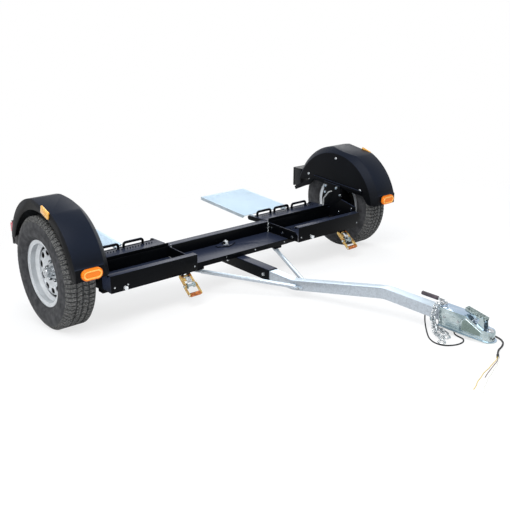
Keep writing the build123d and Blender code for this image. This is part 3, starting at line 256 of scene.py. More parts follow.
def finish_for(look):
    """The material of one of the record's slots, or of a special look within one, made once.

    Each row gives finish's arguments: name, two colours, roughness, patches, grain and relief in mm.
    """
    colours = bpy.context.scene.tow_dolly_colours
    black, moulded, pale = colours.powder_coat, colours.moulded_black, colours.galvanised
    silver, red = colours.wheel_silver, colours.red
    finishes = {
        # Gloss black powder coat: a faint orange peel, with a painted slate sky reflection on its tops
        "black_steel": ("black powder coat", black, scaled(black, 1.8), 0.3, 260, 2.5, 0.05,
                        dict(film="282e3f", film_edges=(0.55, 0.95), specular_ior_level=0.06)),
        # Moulded polyethylene: a painted soft blue sky sheen on its upper faces, over a fine pebble grain
        "fender_plastic": ("moulded polyethylene", moulded, scaled(moulded, 1.8), 0.4, 180, 3, 0.08,
                           dict(film="151b27", film_edges=(0.0, 0.5), specular_ior_level=0.07)),
        # Hot dip galvanised steel: blue-white zinc crystals a few millimetres across, with a painted pale
        # sky reflection on its tops
        "galvanised_steel": ("hot dip galvanised steel", pale, scaled(pale, 0.8), 0.34, 9, 4, 0.04,
                             dict(metallic=0.6, pattern="spangle", patch_edges=(0.0, 1.0), film="c6d5e1")),
        # Bright zinc plate: silvery with a faint blue-green cast and darker handling marks, and a painted
        # blue sky reflection on its tops
        "zinc_plate": ("bright zinc plate", colours.zinc, "879a9f", 0.17, 60, 2.4, 0.03,
                       dict(metallic=0.9, patch_edges=(0.38, 0.66), film="a9bdd2", film_edges=(0.6, 0.95))),
        # Nickel plated steel: bolts, rivets, caps and the pull pin
        "bright_steel": ("nickel plated steel", "d6dadd", "8f9498", 0.14, 9, 2, 0.02,
                         dict(metallic=1.0, rough_swing=0.06, patch_edges=(0.4, 0.6))),
        # Vulcanised rubber: dull, greyer where road dust sits on it
        "tyre_rubber": ("vulcanised rubber", colours.rubber, "4a4a4c", 0.7, 34, 2.0, 0.2,
                        dict(specular_ior_level=0.25, patch_edges=(0.35, 0.7))),
        # Silver wheel enamel: fine metal flake under a clear coat
        "silver_wheel": ("silver wheel enamel", silver, scaled(silver, 0.84), 0.3, 60, 1.2, 0.02,
                         dict(metallic=0.5, coat_weight=0.3, coat_roughness=0.1)),
        # Cast iron: sand-cast grain, with light rust in patches; also the rims' dark sheets of painted shade
        "cast_drum": ("cast iron", "121213", "33231b", 0.8, 30, 2.5, 0.3,
                      dict(metallic=0.2, patch_edges=(0.5, 0.8), specular_ior_level=0.2)),
        # Moulded acrylic lens: amber, with prism ribs drawn 6 mm apart, a little yellower on their crests as
        # a painted highlight
        "amber_lens": ("amber acrylic", colours.amber, "f58a1e", 0.22, 16, 6, 0.5,
                       dict(pattern="ribs", patch_edges=(0.2, 1.0), specular_ior_level=0.3)),
        # Moulded acrylic lens: deep red, with prism ribs 7 mm apart, paler on their crests as a painted
        # highlight
        "red_lens": ("red acrylic", red, "d8385a", 0.22, 16, 7, 0.6,
                     dict(pattern="ribs", patch_edges=(0.6, 1.0), coat_weight=0.3, coat_roughness=0.08)),
        # PVC: loom sleeve, tape and lamp housings
        "black_plastic": ("black PVC", "0d0e10", "191a1d", 0.45, 40, 1.5, 0.06,
                          dict(specular_ior_level=0.25)),
        # Dipped vinyl: a soft, slightly tacky skin
        "grip_vinyl": ("dipped vinyl", "2b262c", "4a4048", 0.5, 20, 1.2, 0.1, {}),
        # Yellow chromated zinc: gold that drifts to copper
        "gold_zinc": ("yellow chromate zinc", colours.gold_zinc, "b9854c", 0.24, 12, 2, 0.05,
                      dict(metallic=0.85, patch_edges=(0.42, 0.62))),
        # Pale zinc-rich coating on expanded steel: chalky grey, with the ramp colour laid on its tops as a
        # painted cold blue-white sky reflection, so greyer down its edges
        "ramp_steel": ("zinc rich coating", "9aa6ae", "b3bec5", 0.5, 45, 3, 0.08,
                       dict(metallic=0.2, film=colours.ramp)),
        # Grey braided brake hose
        "hose_rubber": ("grey hose braid", "c6c8c6", "8d9194", 0.6, 3, 1.2, 0.2, {}),
        # Copper-coloured chromate on the ratchets' sleeves
        "copper": ("copper chromate", "d08350", "8e4d2c", 0.24, 10, 1.5, 0.05,
                   dict(metallic=0.9, patch_edges=(0.4, 0.6))),
        # Zinc plated chain wire: bright where it is burnished, dark where the links rub, 6 mm apart
        "chain": ("burnished zinc wire", "f0f3f4", "69737a", 0.2, 6, 2, 0.03,
                  dict(metallic=0.8, patch_edges=(0.42, 0.58))),
        # Zinc plate in the pressed panels, darker and greener: painted shade in the arch's hollow
        "panel": ("zinc plate in painted shade", "84948e", "6c7c77", 0.3, 50, 2.4, 0.03,
                  dict(metallic=0.7, patch_edges=(0.3, 0.75))),
        # Zinc plate over rolled grip teeth: bright and dark specks of about 8 mm, painted glints on the
        # crests and painted shade in the hollows
        "rolled": ("rolled zinc plate", "b4c2c2", "5a6866", 0.24, 8, 2.4, 0.05,
                   dict(metallic=0.85, patch_edges=(0.4, 0.6))),
        # Chromium plate on the wheel nuts: bright, with painted dark reflections of the wheel's well in
        # patches
        "chrome": ("chromium plate", "d6dadd", "2c3034", 0.12, 12, 2, 0.02,
                   dict(metallic=1.0, patch_edges=(0.46, 0.54))),
        # Satin zinc on the rails' knobs: almost white
        "satin": ("satin zinc", "f3f5f6", "c6cccf", 0.4, 12, 2, 0.03, dict(metallic=0.35)),
        # Reflex reflector: cube corners 5 mm apart that throw light back, painted as paler glinting specks,
        # yellower than the lamps' lenses
        "reflex": ("amber reflex acrylic", "f09a1c", "ffcf6a", 0.2, 5, 5, 0.4,
                   dict(coat_weight=0.2, coat_roughness=0.08)),
        # Tread rubber with pale road dust caught in its sipes and on its blocks, in specks of about 4 mm
        "dusty_tread": ("dusty tread rubber", "1c1c1c", "7e7e7c", 0.8, 4, 3, 0.5,
                        dict(specular_ior_level=0.15, patch_edges=(0.42, 0.62))),
    }
    for wire, text in (("white", "e3e2d8"), ("yellow", "d9b93c"), ("brown", "5a3a26")):
        # Extruded PVC insulation: smooth, with a faint print of the die
        tint = hex_colour(text)
        insulation = (tint, scaled(tint, 0.85), 0.42, 12, 1.5, 0.02, {})
        finishes[wire + "_wire"] = ("wire insulation " + wire, *insulation)
    *numbers, shader = finishes[look]
    return bpy.data.materials.get(numbers[0]) or finish(*numbers, **shader)


# Making pieces


def on_chassis(x, y, z):
    """A point of the level chassis in millimetres, as a point of the frame in metres."""
    return CHASSIS @ Vector((x, y, z))


def new_object(name, data):
    obj = bpy.data.objects.new(name, data)
    bpy.context.scene.collection.objects.link(obj)
    return obj


def mesh_of(name, bm):
    """Turn a bmesh's faces outward and use it up as a mesh."""
    bmesh.ops.recalc_face_normals(bm, faces=bm.faces)
    mesh = bpy.data.meshes.new(name)
    bm.to_mesh(mesh)
    bm.free()
    return mesh


def baked(obj):
    """The mesh that an object's modifiers make."""
    bpy.context.view_layer.update()
    evaluated = obj.evaluated_get(bpy.context.evaluated_depsgraph_get())
    return bpy.data.meshes.new_from_object(evaluated)


def bake(obj):
    """Take an object's modifiers into its mesh."""
    made = baked(obj)
    obj.modifiers.clear()
    obj.data = made


def soften(obj, name, width, angle, **settings):
    """Round the edges that are sharper than an angle, in degrees."""
    bevel = obj.modifiers.new(name, "BEVEL")
    bevel.width = width
    bevel.segments = 2
    bevel.limit_method = "ANGLE"
    bevel.angle_limit = radians(angle)
    for key, value in settings.items():
        setattr(bevel, key, value)


def enter(obj, body, stands_for=()):
    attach(obj, body)
    if stands_for:
        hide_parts(*stands_for)
    return obj


def make_piece(name, bm, slot, body="chassis", stands_for=(), round_mm=0.0, smooth=32, look="", merge=False):
    """Make a piece's object from a bmesh in the frame's metres; round its edges; let it ride."""
    if merge:
        bmesh.ops.remove_doubles(bm, verts=bm.verts, dist=1e-5)
    obj = new_object(name, mesh_of(name, bm))
    if round_mm:
        soften(obj, "Round", round_mm / 1000, 34, miter_outer="MITER_ARC")
        bake(obj)
    obj.data.shade_smooth()
    obj.data.set_sharp_from_angle(angle=radians(smooth))
    obj.data.materials.clear()
    obj.data.materials.append(finish_for(look or slot))
    return enter(obj, body, stands_for)


def from_node(node):
    """A bmesh of a CAD node, with its loose triangles joined into flat faces."""
    bm = bmesh.new()
    bm.from_mesh(frame["nodes"][node].data)
    bmesh.ops.remove_doubles(bm, verts=bm.verts, dist=1e-5)
    bmesh.ops.dissolve_limit(bm, angle_limit=radians(0.4), verts=bm.verts, edges=bm.edges)
    return bm


def body_of(node):
    return frame["nodes"][node]["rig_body"]


def dress(node, slot, round_mm, smooth=32, look=""):
    """Stand a copy with rounded edges in for a CAD node whose shape is right."""
    make_piece("finished_" + node, from_node(node), slot, body_of(node), (node,), round_mm, smooth, look)


def bridge(bm, rings, closed=False):
    """Join each ring of vertices to the next, a pole being a ring of one; closed joins the ends."""
    for first, second in zip(rings, rings[1:] + rings[:1] if closed else rings[1:]):
        for i in range(max(len(first), len(second))):
            a, b = i % len(first), (i + 1) % len(first)
            c, d = (i + 1) % len(second), i % len(second)
            corners = list(dict.fromkeys((first[a], first[b], second[c], second[d])))
            if len(corners) > 2:
                bm.faces.new(corners)


def skin(bm, rings):
    """Join rings of vertices into a solid with both ends capped."""
    bm.faces.new(rings[0][::-1])
    bm.faces.new(rings[-1])
    bridge(bm, rings)


def lathe(bm, profile, segments, place, closed=True):
    """Turn a profile of (along, radius) points about the x axis of a place."""
    angles = [2 * pi * i / segments for i in range(segments)]
    rings = []
    for along, radius in profile:
        turn = [(along, 0, 0)]
        if radius > 1e-6:
            turn = [(along, radius * sin(a), radius * cos(a)) for a in angles]
        rings.append([bm.verts.new(place @ Vector(point)) for point in turn])
    bridge(bm, rings, closed)


def prism(bm, outline, place, depth):
    """Raise a flat outline of (x, y) points along the z axis of a place."""
    skin(bm, [[bm.verts.new(place @ Vector((x, y, z))) for x, y in outline] for z in (0, depth)])


def middle_of(outline):
    """The mean of an outline's corners."""
    return Vector([sum(values) for values in zip(*outline)]) / len(outline)


def around(place, count):
    """Places turned evenly about the x axis of a place."""
    return [place @ spin(2 * pi * k / count, "X") for k in range(count)]


def hexagon(across):
    return [(across / sqrt(3) * cos(k * pi / 3), across / sqrt(3) * sin(k * pi / 3)) for k in range(6)]


def slot_outline(length, width, steps=8):
    """The outline of a slot with round ends."""
    half, radius = (length - width) / 2, width / 2
    ends = []
    for centre, start in ((half, -pi / 2), (-half, pi / 2)):
        turn = [start + pi * i / steps for i in range(steps + 1)]
        ends += [(centre + radius * cos(a), radius * sin(a)) for a in turn]
    return ends


def ring_tube(bm, points, radius, sides, closed):
    """Sweep a round section along points, with no twist; closed joins the ends."""
    count = len(points)
    turn = [2 * pi * k / sides for k in range(sides)]
    rings = []
    across = None
    for i, point in enumerate(points):
        before = points[i - 1] if i or closed else point
        after = points[(i + 1) % count] if i < count - 1 or closed else point
        along = (after - before).normalized()
        if across is None:
            across = along.orthogonal().normalized()
        across = (across - along * across.dot(along)).normalized()
        up = along.cross(across)
        rings.append([bm.verts.new(point + radius * (across * cos(a) + up * sin(a))) for a in turn])
    bridge(bm, rings, closed)
    if not closed:
        bm.faces.new(rings[0][::-1])
        bm.faces.new(rings[-1])


def filleted(corners, radii, step):
    """Points along straight runs joined by arcs of the given radii, about step apart."""
    points = [Vector(corners[0])]
    for before, corner, after, radius in zip(corners, corners[1:], corners[2:], radii):
        corner = Vector(corner)
        back = (Vector(before) - corner).normalized()
        on = (Vector(after) - corner).normalized()
        half = back.angle(on) / 2
        centre = corner + (back + on).normalized() * (radius / sin(half))
        start = corner + back * (radius / tan(half)) - centre
        stop = corner + on * (radius / tan(half)) - centre
        sweep = start.angle(stop)
        steps = max(2, int(sweep * radius / step))
        for k in range(steps + 1):
            arm = start * sin(sweep * (1 - k / steps)) + stop * sin(sweep * k / steps)
            points.append(centre + arm / sin(sweep))
    points.append(Vector(corners[-1]))
    fine = []
    for first, second in zip(points, points[1:]):
        count = max(1, int((second - first).length / step))
        fine += [first.lerp(second, k / count) for k in range(count)]
    return fine + [points[-1]]


def copies_tree():
    """Geometry Nodes that set a piece on every point, turned and sized by the point's attributes."""
    if "Copies on points" in bpy.data.node_groups:
        return bpy.data.node_groups["Copies on points"]
    tree = bpy.data.node_groups.new("Copies on points", "GeometryNodeTree")
    for name, kind in (("Points", "Geometry"), ("Piece", "Object"), ("Finish", "Material")):
        tree.interface.new_socket(name, in_out="INPUT", socket_type="NodeSocket" + kind)
    tree.interface.new_socket("Copies", in_out="OUTPUT", socket_type="NodeSocketGeometry")
    given = add(tree, "NodeGroupInput").outputs
    piece = add(tree, "GeometryNodeObjectInfo", {"Object": given["Piece"]}).outputs["Geometry"]
    turn, grow = (
        add(tree, "GeometryNodeInputNamedAttribute", {"Name": name}, data_type="FLOAT_VECTOR")
        for name in ("turn", "grow")
    )
    angles = add(tree, "FunctionNodeEulerToRotation", {"Euler": turn.outputs["Attribute"]}).outputs[0]
    inputs = {"Points": given["Points"], "Instance": piece, "Rotation": angles}
    inputs["Scale"] = grow.outputs["Attribute"]
    copies = add(tree, "GeometryNodeInstanceOnPoints", inputs).outputs[0]
    real = add(tree, "GeometryNodeRealizeInstances", {"Geometry": copies}).outputs[0]
    done = add(tree, "GeometryNodeSetMaterial", {"Geometry": real, "Material": given["Finish"]}).outputs[0]
    add(tree, "NodeGroupOutput", {"Copies": done})
    return tree


def repeat(name, unit, places, slot, body="chassis", stands_for=(), look="", smooth=32):
    """Bake copies of a unit, a bmesh in millimetres, at places given as matrices to metres."""
    mesh = mesh_of(name + "_unit", unit)
    mesh.shade_smooth()
    mesh.set_sharp_from_angle(angle=radians(smooth))
    one = new_object(name + "_unit", mesh)
    points = bpy.data.meshes.new(name)
    points.from_pydata([place.translation for place in places], [], [])
    turn = points.attributes.new("turn", "FLOAT_VECTOR", "POINT")
    grow = points.attributes.new("grow", "FLOAT_VECTOR", "POINT")
    for i, place in enumerate(places):
        turn.data[i].vector = place.to_3x3().normalized().to_euler()
        grow.data[i].vector = place.to_scale()
    obj = new_object(name, points)
    copies = obj.modifiers.new("Copies", "NODES")
    copies.node_group = copies_tree()
    values = {"Piece": one, "Finish": finish_for(look or slot)}
    for socket in copies.node_group.interface.items_tree:
        if socket.name in values:
            copies[socket.identifier] = values[socket.name]
    bake(obj)
    bpy.data.objects.remove(one)
    return enter(obj, body, stands_for)


def facing(point, outward, turn=0.0, size=1.0):
    """A place at a chassis point whose z axis looks outward, as a matrix to metres."""
    look = Vector(outward).to_track_quat("Z", "Y").to_matrix().to_4x4()
    return CHASSIS @ Matrix.Translation(point) @ look @ spin(turn, "Z") @ Matrix.Scale(size, 4)


def hex_bolt(across):
    """A hex bolt head on its washer, standing on z = 0."""
    bm = bmesh.new()
    washer = across * 0.62
    profile = ((0, 0), (0, washer), (1.4, washer), (1.6, washer - 0.4), (1.6, across * 0.5))
    lathe(bm, profile, 20, UPRIGHT, closed=False)
    head = across * 0.36
    prism(bm, hexagon(across), shift(0, 0, 1.5), head)
    dome = ((1.5 + head, across * 0.46), (1.9 + head, across * 0.3), (2.0 + head, 0))
    lathe(bm, dome, 18, UPRIGHT, closed=False)
    return bm


def dome_bolt(radius):
    """A carriage bolt's low round head, standing on z = 0."""
    bm = bmesh.new()
    steps = [(radius * 0.5 * sin(k * pi / 10), radius * cos(k * pi / 10)) for k in range(5)]
    lathe(bm, [(0.0, 0.0), *steps, (radius * 0.5, 0.0)], 18, UPRIGHT, closed=False)
    return bm


# The stage


def seen_rays(tree):
    """One for what the camera sees, straight or in a reflection or through glass."""
    rays = add(tree, "ShaderNodeLightPath").outputs
    total = maths(tree, "ADD", rays["Is Camera Ray"], rays["Is Glossy Ray"])
    total = maths(tree, "ADD", total, rays["Is Transmission Ray"])
    return maths(tree, "MINIMUM", total, 1.0)


def floor_finish():
    """White paper that turns clear with distance from the object and glows a little to the eye."""
    material = bpy.data.materials.new("white paper floor")
    tree = empty_tree(material)
    place = add(tree, "ShaderNodeTexCoord").outputs["Object"]
    away = add(tree, "ShaderNodeVectorMath", {0: place}, operation="LENGTH").outputs["Value"]
    fade = remap(tree, away, 2.4, 4.6)
    paper = add(tree, "ShaderNodeBsdfDiffuse", {"Color": hex_colour("fbfbfb")})
    white = add(tree, "ShaderNodeEmission", {"Color": (1, 1, 1, 1), "Strength": 1.0})
    glow = maths(tree, "MULTIPLY", seen_rays(tree), 0.72)
    lit = add(tree, "ShaderNodeMixShader", {0: glow, 1: paper.outputs[0], 2: white.outputs[0]})
    clear = add(tree, "ShaderNodeBsdfTransparent")
    mix = add(tree, "ShaderNodeMixShader", {0: fade, 1: lit.outputs[0], 2: clear.outputs[0]})
    add(tree, "ShaderNodeOutputMaterial", {"Surface": mix.outputs[0]})
    return material


class TOWDOLLY_OT_stage(Operator):
    """Set the camera, the floor and the studio light"""

    bl_idname = "tow_dolly.stage"
    bl_label = "Stage"

    def execute(self, context):
        scene = context.scene
        values = scene.tow_dolly_stage
        # Camera: placed and aimed in the level chassis, then turned nose down with it
        yaw, pitch, roll = 0.7016, 0.3358, 0.002
        image_width, focal_pixels, sensor_mm = 510, 738.4, 36
        ahead = Vector((sin(yaw) * cos(pitch), cos(yaw) * cos(pitch), -sin(pitch)))
        right = Vector((cos(yaw), -sin(yaw), 0))
        aim = Matrix((right, right.cross(ahead), -ahead)).transposed().to_4x4() @ spin(roll, "Z")
        place = CHASSIS @ shift(-2885.5, -3765.5, 1812.2) @ aim
        camera = new_object("camera", bpy.data.cameras.new("camera"))
        camera.matrix_world = Matrix.LocRotScale(place.translation, place.to_quaternion(), None)
        camera.data.sensor_width = sensor_mm
        camera.data.lens = sensor_mm * focal_pixels / image_width
        camera.data.clip_end = 60
        scene.camera = camera

        # A pale floor that fades into the white surround, from 2.4 to 4.6 metres out
        mesh = bpy.data.meshes.new("floor")
        reach = 9.0
        corners = [(-reach, -reach, 0), (reach, -reach, 0), (reach, reach, 0), (-reach, reach, 0)]
        mesh.from_pydata(corners, [], [(0, 1, 2, 3)])
        mesh.materials.append(floor_finish())
        floor = new_object("floor", mesh)

        # The surround is white to the eye and darker towards the ground to what it lights
        world = bpy.data.worlds.new("studio")
        scene.world = world
        tree = empty_tree(world)
        ray = add(tree, "ShaderNodeTexCoord").outputs["Generated"]
        height = add(tree, "ShaderNodeSeparateXYZ", {"Vector": ray}).outputs["Z"]
        sky = maths(tree, "MULTIPLY", remap(tree, height, -0.1, 0.6, 0.55, 1.0), values.sky)
        dim = add(tree, "ShaderNodeBackground", {"Color": hex_colour("eef3fa"), "Strength": sky})
        white = add(tree, "ShaderNodeBackground", {"Color": (1, 1, 1, 1), "Strength": 1.0})
        mix = add(tree, "ShaderNodeMixShader", {0: seen_rays(tree), 1: dim.outputs[0], 2: white.outputs[0]})
        add(tree, "ShaderNodeOutputWorld", {"Surface": mix.outputs[0]})

        for name, power, size, spot, target in (
            ("key", values.key, 3.5, (-2.2, -1.6, 4.6), (0, 0.2, 0.3)),
            ("fill", values.fill, 3.0, (-3.6, -4.6, 2.4), (0, -0.4, 0.3)),
            ("rim", values.key * 0.45, 3.0, (3.0, 3.4, 3.6), (0, 0.2, 0.3)),
        ):
            lamp = bpy.data.lights.new(name, "AREA")
            lamp.energy = power
            lamp.size = size
            light = new_object(name, lamp)
            light.location = spot
            light.rotation_euler = (Vector(target) - Vector(spot)).to_track_quat("-Z", "Y").to_euler()
        scene.view_settings.view_transform = "Standard"
        return {"FINISHED"}


# The cords. Their routes are in millimetres from the axle line, with z up from the floor.


def beside_axle(x, y, z):
    """A chassis point in millimetres, measured as the cords' routes are."""
    x, y, z = on_chassis(x, y, z)
    return Vector((x, y - AXLE_Y, z)) * 1000


def on_floor(point):
    """A point of a cord's route, as a point of the frame in metres."""
    return Vector(point) / 1000 + Vector((0, AXLE_Y, 0))


def lying(height, *points):
    """Points of a route that lie at one height."""
    return [(x, y, height) for x, y in points]


SHEATH_RADIUS, TAPE_RADIUS, WIRE_RADIUS, LOOM_RADIUS = 4.5, 6.5, 1.6, 3.5
REST_GAP = 0.3
SHEATH_FLOOR = SHEATH_RADIUS + REST_GAP
TAPE_FLOOR = TAPE_RADIUS + REST_GAP
WIRE_FLOOR = WIRE_RADIUS + REST_GAP
LOOM_FLOOR = LOOM_RADIUS + REST_GAP
DECK_UP = Vector((0, -sin(NOSE_DOWN), cos(NOSE_DOWN)))
GROMMET = (31.75, -1740, 334)
SHEATH_EXIT = beside_axle(37.75, -1740, 334)
SHEATH_ROUTE = (
    SHEATH_EXIT, SHEATH_EXIT + Vector((24, 0, 0)), (76, -1732, 66), (86, -1750, 34), (94, -1782, 11),
    *lying(SHEATH_FLOOR, (97, -1830), (90, -1885), (84, -1945), (74, -2004), (56, -2058), (20, -2104)),
    *lying(SHEATH_FLOOR, (-34, -2130)),
    *lying(TAPE_FLOOR, (-88, -2142), (-135, -2172)),
)
TAPE_END = (-160, -2188, TAPE_FLOOR)
# Each wire's colour, its length in metres and its route out of the tape
WIRES = (
    ("white", 0.377, *lying(9.3, (-158.6, -2190.2), (-183.9, -2206.4)),
     *lying(WIRE_FLOOR, (-226, -2228), (-274, -2240), (-322, -2262), (-372, -2276), (-420, -2300)),
     *lying(WIRE_FLOOR, (-466, -2318), (-502, -2341))),
    ("yellow", 0.359, *lying(9.3, (-161.4, -2185.8), (-186.7, -2202)),
     *lying(WIRE_FLOOR, (-234, -2206), (-284, -2222), (-334, -2230), (-384, -2250), (-428, -2262)),
     *lying(WIRE_FLOOR, (-468, -2284), (-501, -2294))),
    ("brown", 0.225, *lying(3.6, (-160, -2188), (-185.3, -2204.2)),
     *lying(WIRE_FLOOR, (-236, -2217), (-286, -2233), (-330, -2246), (-372, -2262))),
)
LOOM_OUT = beside_axle(-12, -1700, 302.25)
LOOM_BACK = beside_axle(-38, -1896, 283)
LOOM_ROUTE = (
    LOOM_OUT, LOOM_OUT - DECK_UP * 22, (-22, -1686, 30), (-50, -1712, 13),
    *lying(LOOM_FLOOR, (-92, -1752), (-140, -1800), (-174, -1856), (-178, -1914), (-140, -1952)),
    *lying(LOOM_FLOOR, (-92, -1960), (-54, -1938), (-42, -1912)),
    (-38, -1889, 6), LOOM_BACK - DECK_UP * 14, LOOM_BACK,
)


class TOWDOLLY_OT_wiring(Operator):
    """Lay the wiring sheath with its tape and bared wires, and the loop of loom"""

    bl_idname = "tow_dolly.wiring"
    bl_label = "Wiring"

    def execute(self, context):
        slot = "black_plastic"
        sheath = self.lay_cord("wiring_sheath_cord", SHEATH_ROUTE, SHEATH_RADIUS, slot, "wiring_sheath")

        # The tape: wound in overlapping turns round the sheath's end, a little uneven
        start, stop = on_floor(SHEATH_ROUTE[-1]), on_floor(TAPE_END)
        along = stop - start
        turns = 5
        profile = [(0.0, 0.0)]
        for turn in range(turns):
            first, last = turn / turns, (turn + 1) / turns
            thick = TAPE_RADIUS - 0.5 * (turn % 2)
            profile += [(first, thick - 0.45), (first + 0.03, thick), (last - 0.01, thick - 0.3)]
        profile += [(1.0, TAPE_RADIUS - 1.2), (1.0, 0.0)]
        profile = [(a * along.length, r / 1000) for a, r in profile]
        aim = Vector((1, 0, 0)).rotation_difference(along).to_matrix().to_4x4()
        bm = bmesh.new()
        lathe(bm, profile, 20, Matrix.Translation(start) @ aim, closed=False)
        tape = make_piece("wiring_tape_wrap", bm, slot, "chassis", ("wiring_tape",), smooth=40)

        # The grommet: a rubber ring with a waist and a short tapered neck for the sheath
        bm = bmesh.new()
        profile = ((0, 6), (0, 11), (1.5, 11), (2.6, 10), (3.4, 8.4), (6, 6.2), (6, 4.6), (0, 4.6))
        lathe(bm, profile, 28, CHASSIS @ shift(*GROMMET))
        make_piece("wiring_grommet_ring", bm, slot, "chassis", ("wiring_grommet",), smooth=40)

        self.state_cord(sheath, SHEATH_ROUTE, SHEATH_RADIUS, 0.64, "fitting", "medium", with_pieces=[tape])
        for colour, length, *route in WIRES:
            name = f"{colour}_wire"
            wire = self.lay_cord(name + "_cord", route, WIRE_RADIUS, name, f"wire_{colour}")
            self.state_cord(wire, route, WIRE_RADIUS, length, "bare", "limp")
        loom = self.lay_cord("loom_loop_cord", LOOM_ROUTE, LOOM_RADIUS, slot, "loom_loop")
        self.state_cord(loom, LOOM_ROUTE, LOOM_RADIUS, 0.556, "object", "medium")
        return {"FINISHED"}

    def lay_cord(self, name, route, radius, slot, node):
        """A cord as one smooth curve through its route, in place of its CAD node."""
        curve = bpy.data.curves.new(name, "CURVE")
        curve.dimensions = "3D"
        spline = curve.splines.new("NURBS")
        spline.points.add(len(route) - 1)
        for point, (x, y, z) in zip(spline.points, route):
            point.co = (x / 1000, y / 1000 + AXLE_Y, z / 1000, 1)
        spline.order_u = 3
        spline.use_endpoint_u = True
        spline.resolution_u = 10
        curve.bevel_depth = radius / 1000
        curve.bevel_resolution = 3
        curve.use_fill_caps = True
        curve.materials.append(finish_for(slot))
        return enter(new_object(name, curve), "chassis", (node,))

    def state_cord(self, cord, route, radius, length, far_end, stiffness, **more):
        """Takes a cord's length in metres, and how it ends and lies, and does nothing with them."""


# Wheels


def wheel_centre(side):
    """A wheel's centre, in millimetres with x along the axle to the left."""
    return AXLE @ shift(side * WHEEL_X / 1000, 0, 0) @ TO_METRES


class TOWDOLLY_OT_tyres(Operator):
    """Make both tyres: a moulded carcass with rows of tread blocks"""

    bl_idname = "tow_dolly.tyres"
    bl_label = "Tyres"

    def execute(self, context):
        sizes = context.scene.tow_dolly_sizes
        depth = sizes.tread_depth * 1000
        count = sizes.tread_pitches
        # Half of the carcass's section: its outside from crown to bead, and its inside back to the crown
        outer = [
            (0, TYRE_RADIUS - depth), (72, TYRE_RADIUS - depth), (84, 313), (93, 300), (98.5, 284),
            (100.5, 270), (101.3, 268.5), (101.3, 262.5), (100.9, 261), (101.5, 250), (100.6, 240),
            (98.6, 232), (99.2, 230.5), (98.2, 226), (96.9, 225), (90, 212), (80, 204.5), (76.5, 203.8),
            (75.6, 200), (68, 197.5), (68, 178.5), (57, 178.5),
        ]
        inner = [(57, 211), (90, 250), (69, 304), (0, 306)]
        section = [(-x, r) for x, r in outer[:0:-1]] + outer + inner + [(-x, r) for x, r in inner[-2::-1]]
        for name, side in SIDES:
            wheel = wheel_centre(side)
            body = f"{name}_wheel"
            bm = bmesh.new()
            lathe(bm, section, 120, wheel)
            make_piece(f"{name}_tyre_carcass", bm, "tyre_rubber", body, (f"{name}_tyre",), smooth=28)
            base, crown = TYRE_RADIUS - depth - 1.0, TYRE_RADIUS - 0.15
            unit = self.tread_pitch(2 * pi * TYRE_RADIUS / count, base, crown)
            places = around(wheel, count)
            repeat(f"{name}_tyre_tread", unit, places, "tyre_rubber", body, look="dusty_tread", smooth=20)
        return {"FINISHED"}

    def tread_pitch(self, pitch, base, crown):
        """One pitch of the tread: slanted centre blocks, and shoulder lugs that turn down the sides."""
        bm = bmesh.new()
        reach = pitch * 0.4
        for across, slant in ((-32.0, 5), (4.5, -5)):
            edge = [(across, -slant), (across + 13.5, 0), (across + 27.5, slant)]
            outline = [(x, y - reach) for x, y in edge] + [(x, y + reach) for x, y in edge[::-1]]
            inward = [(middle_of(outline) - Vector(point)).normalized() for point in outline]
            rings = []
            for height, ease in ((base, 0.0), (crown - 1.2, 0.0), (crown, 0.9)):
                eased = [(x + (way * ease).x, y + (way * ease).y) for (x, y), way in zip(outline, inward)]
                rings.append([bm.verts.new((x, y, height)) for x, y in eased])
            skin(bm, rings)
        reach = pitch * 0.36
        lug = [(41.5, crown), (71, crown), (84, 317), (92.5, 303)]
        lug += [(91, 299), (80, 309), (68, base), (41.5, base)]
        for side in (1, -1):
            rings = []
            for end in (-reach, reach):
                rings.append([bm.verts.new((side * x, end + (x - 41) * 0.05, r)) for x, r in lug])
            front, back = rings
            bm.faces.new(front)
            bm.faces.new(back[::-1])
            for i, j in zip(range(len(lug)), [*range(1, len(lug)), 0]):
                bm.faces.new((front[i], back[i], back[j], front[j]))
        return bm


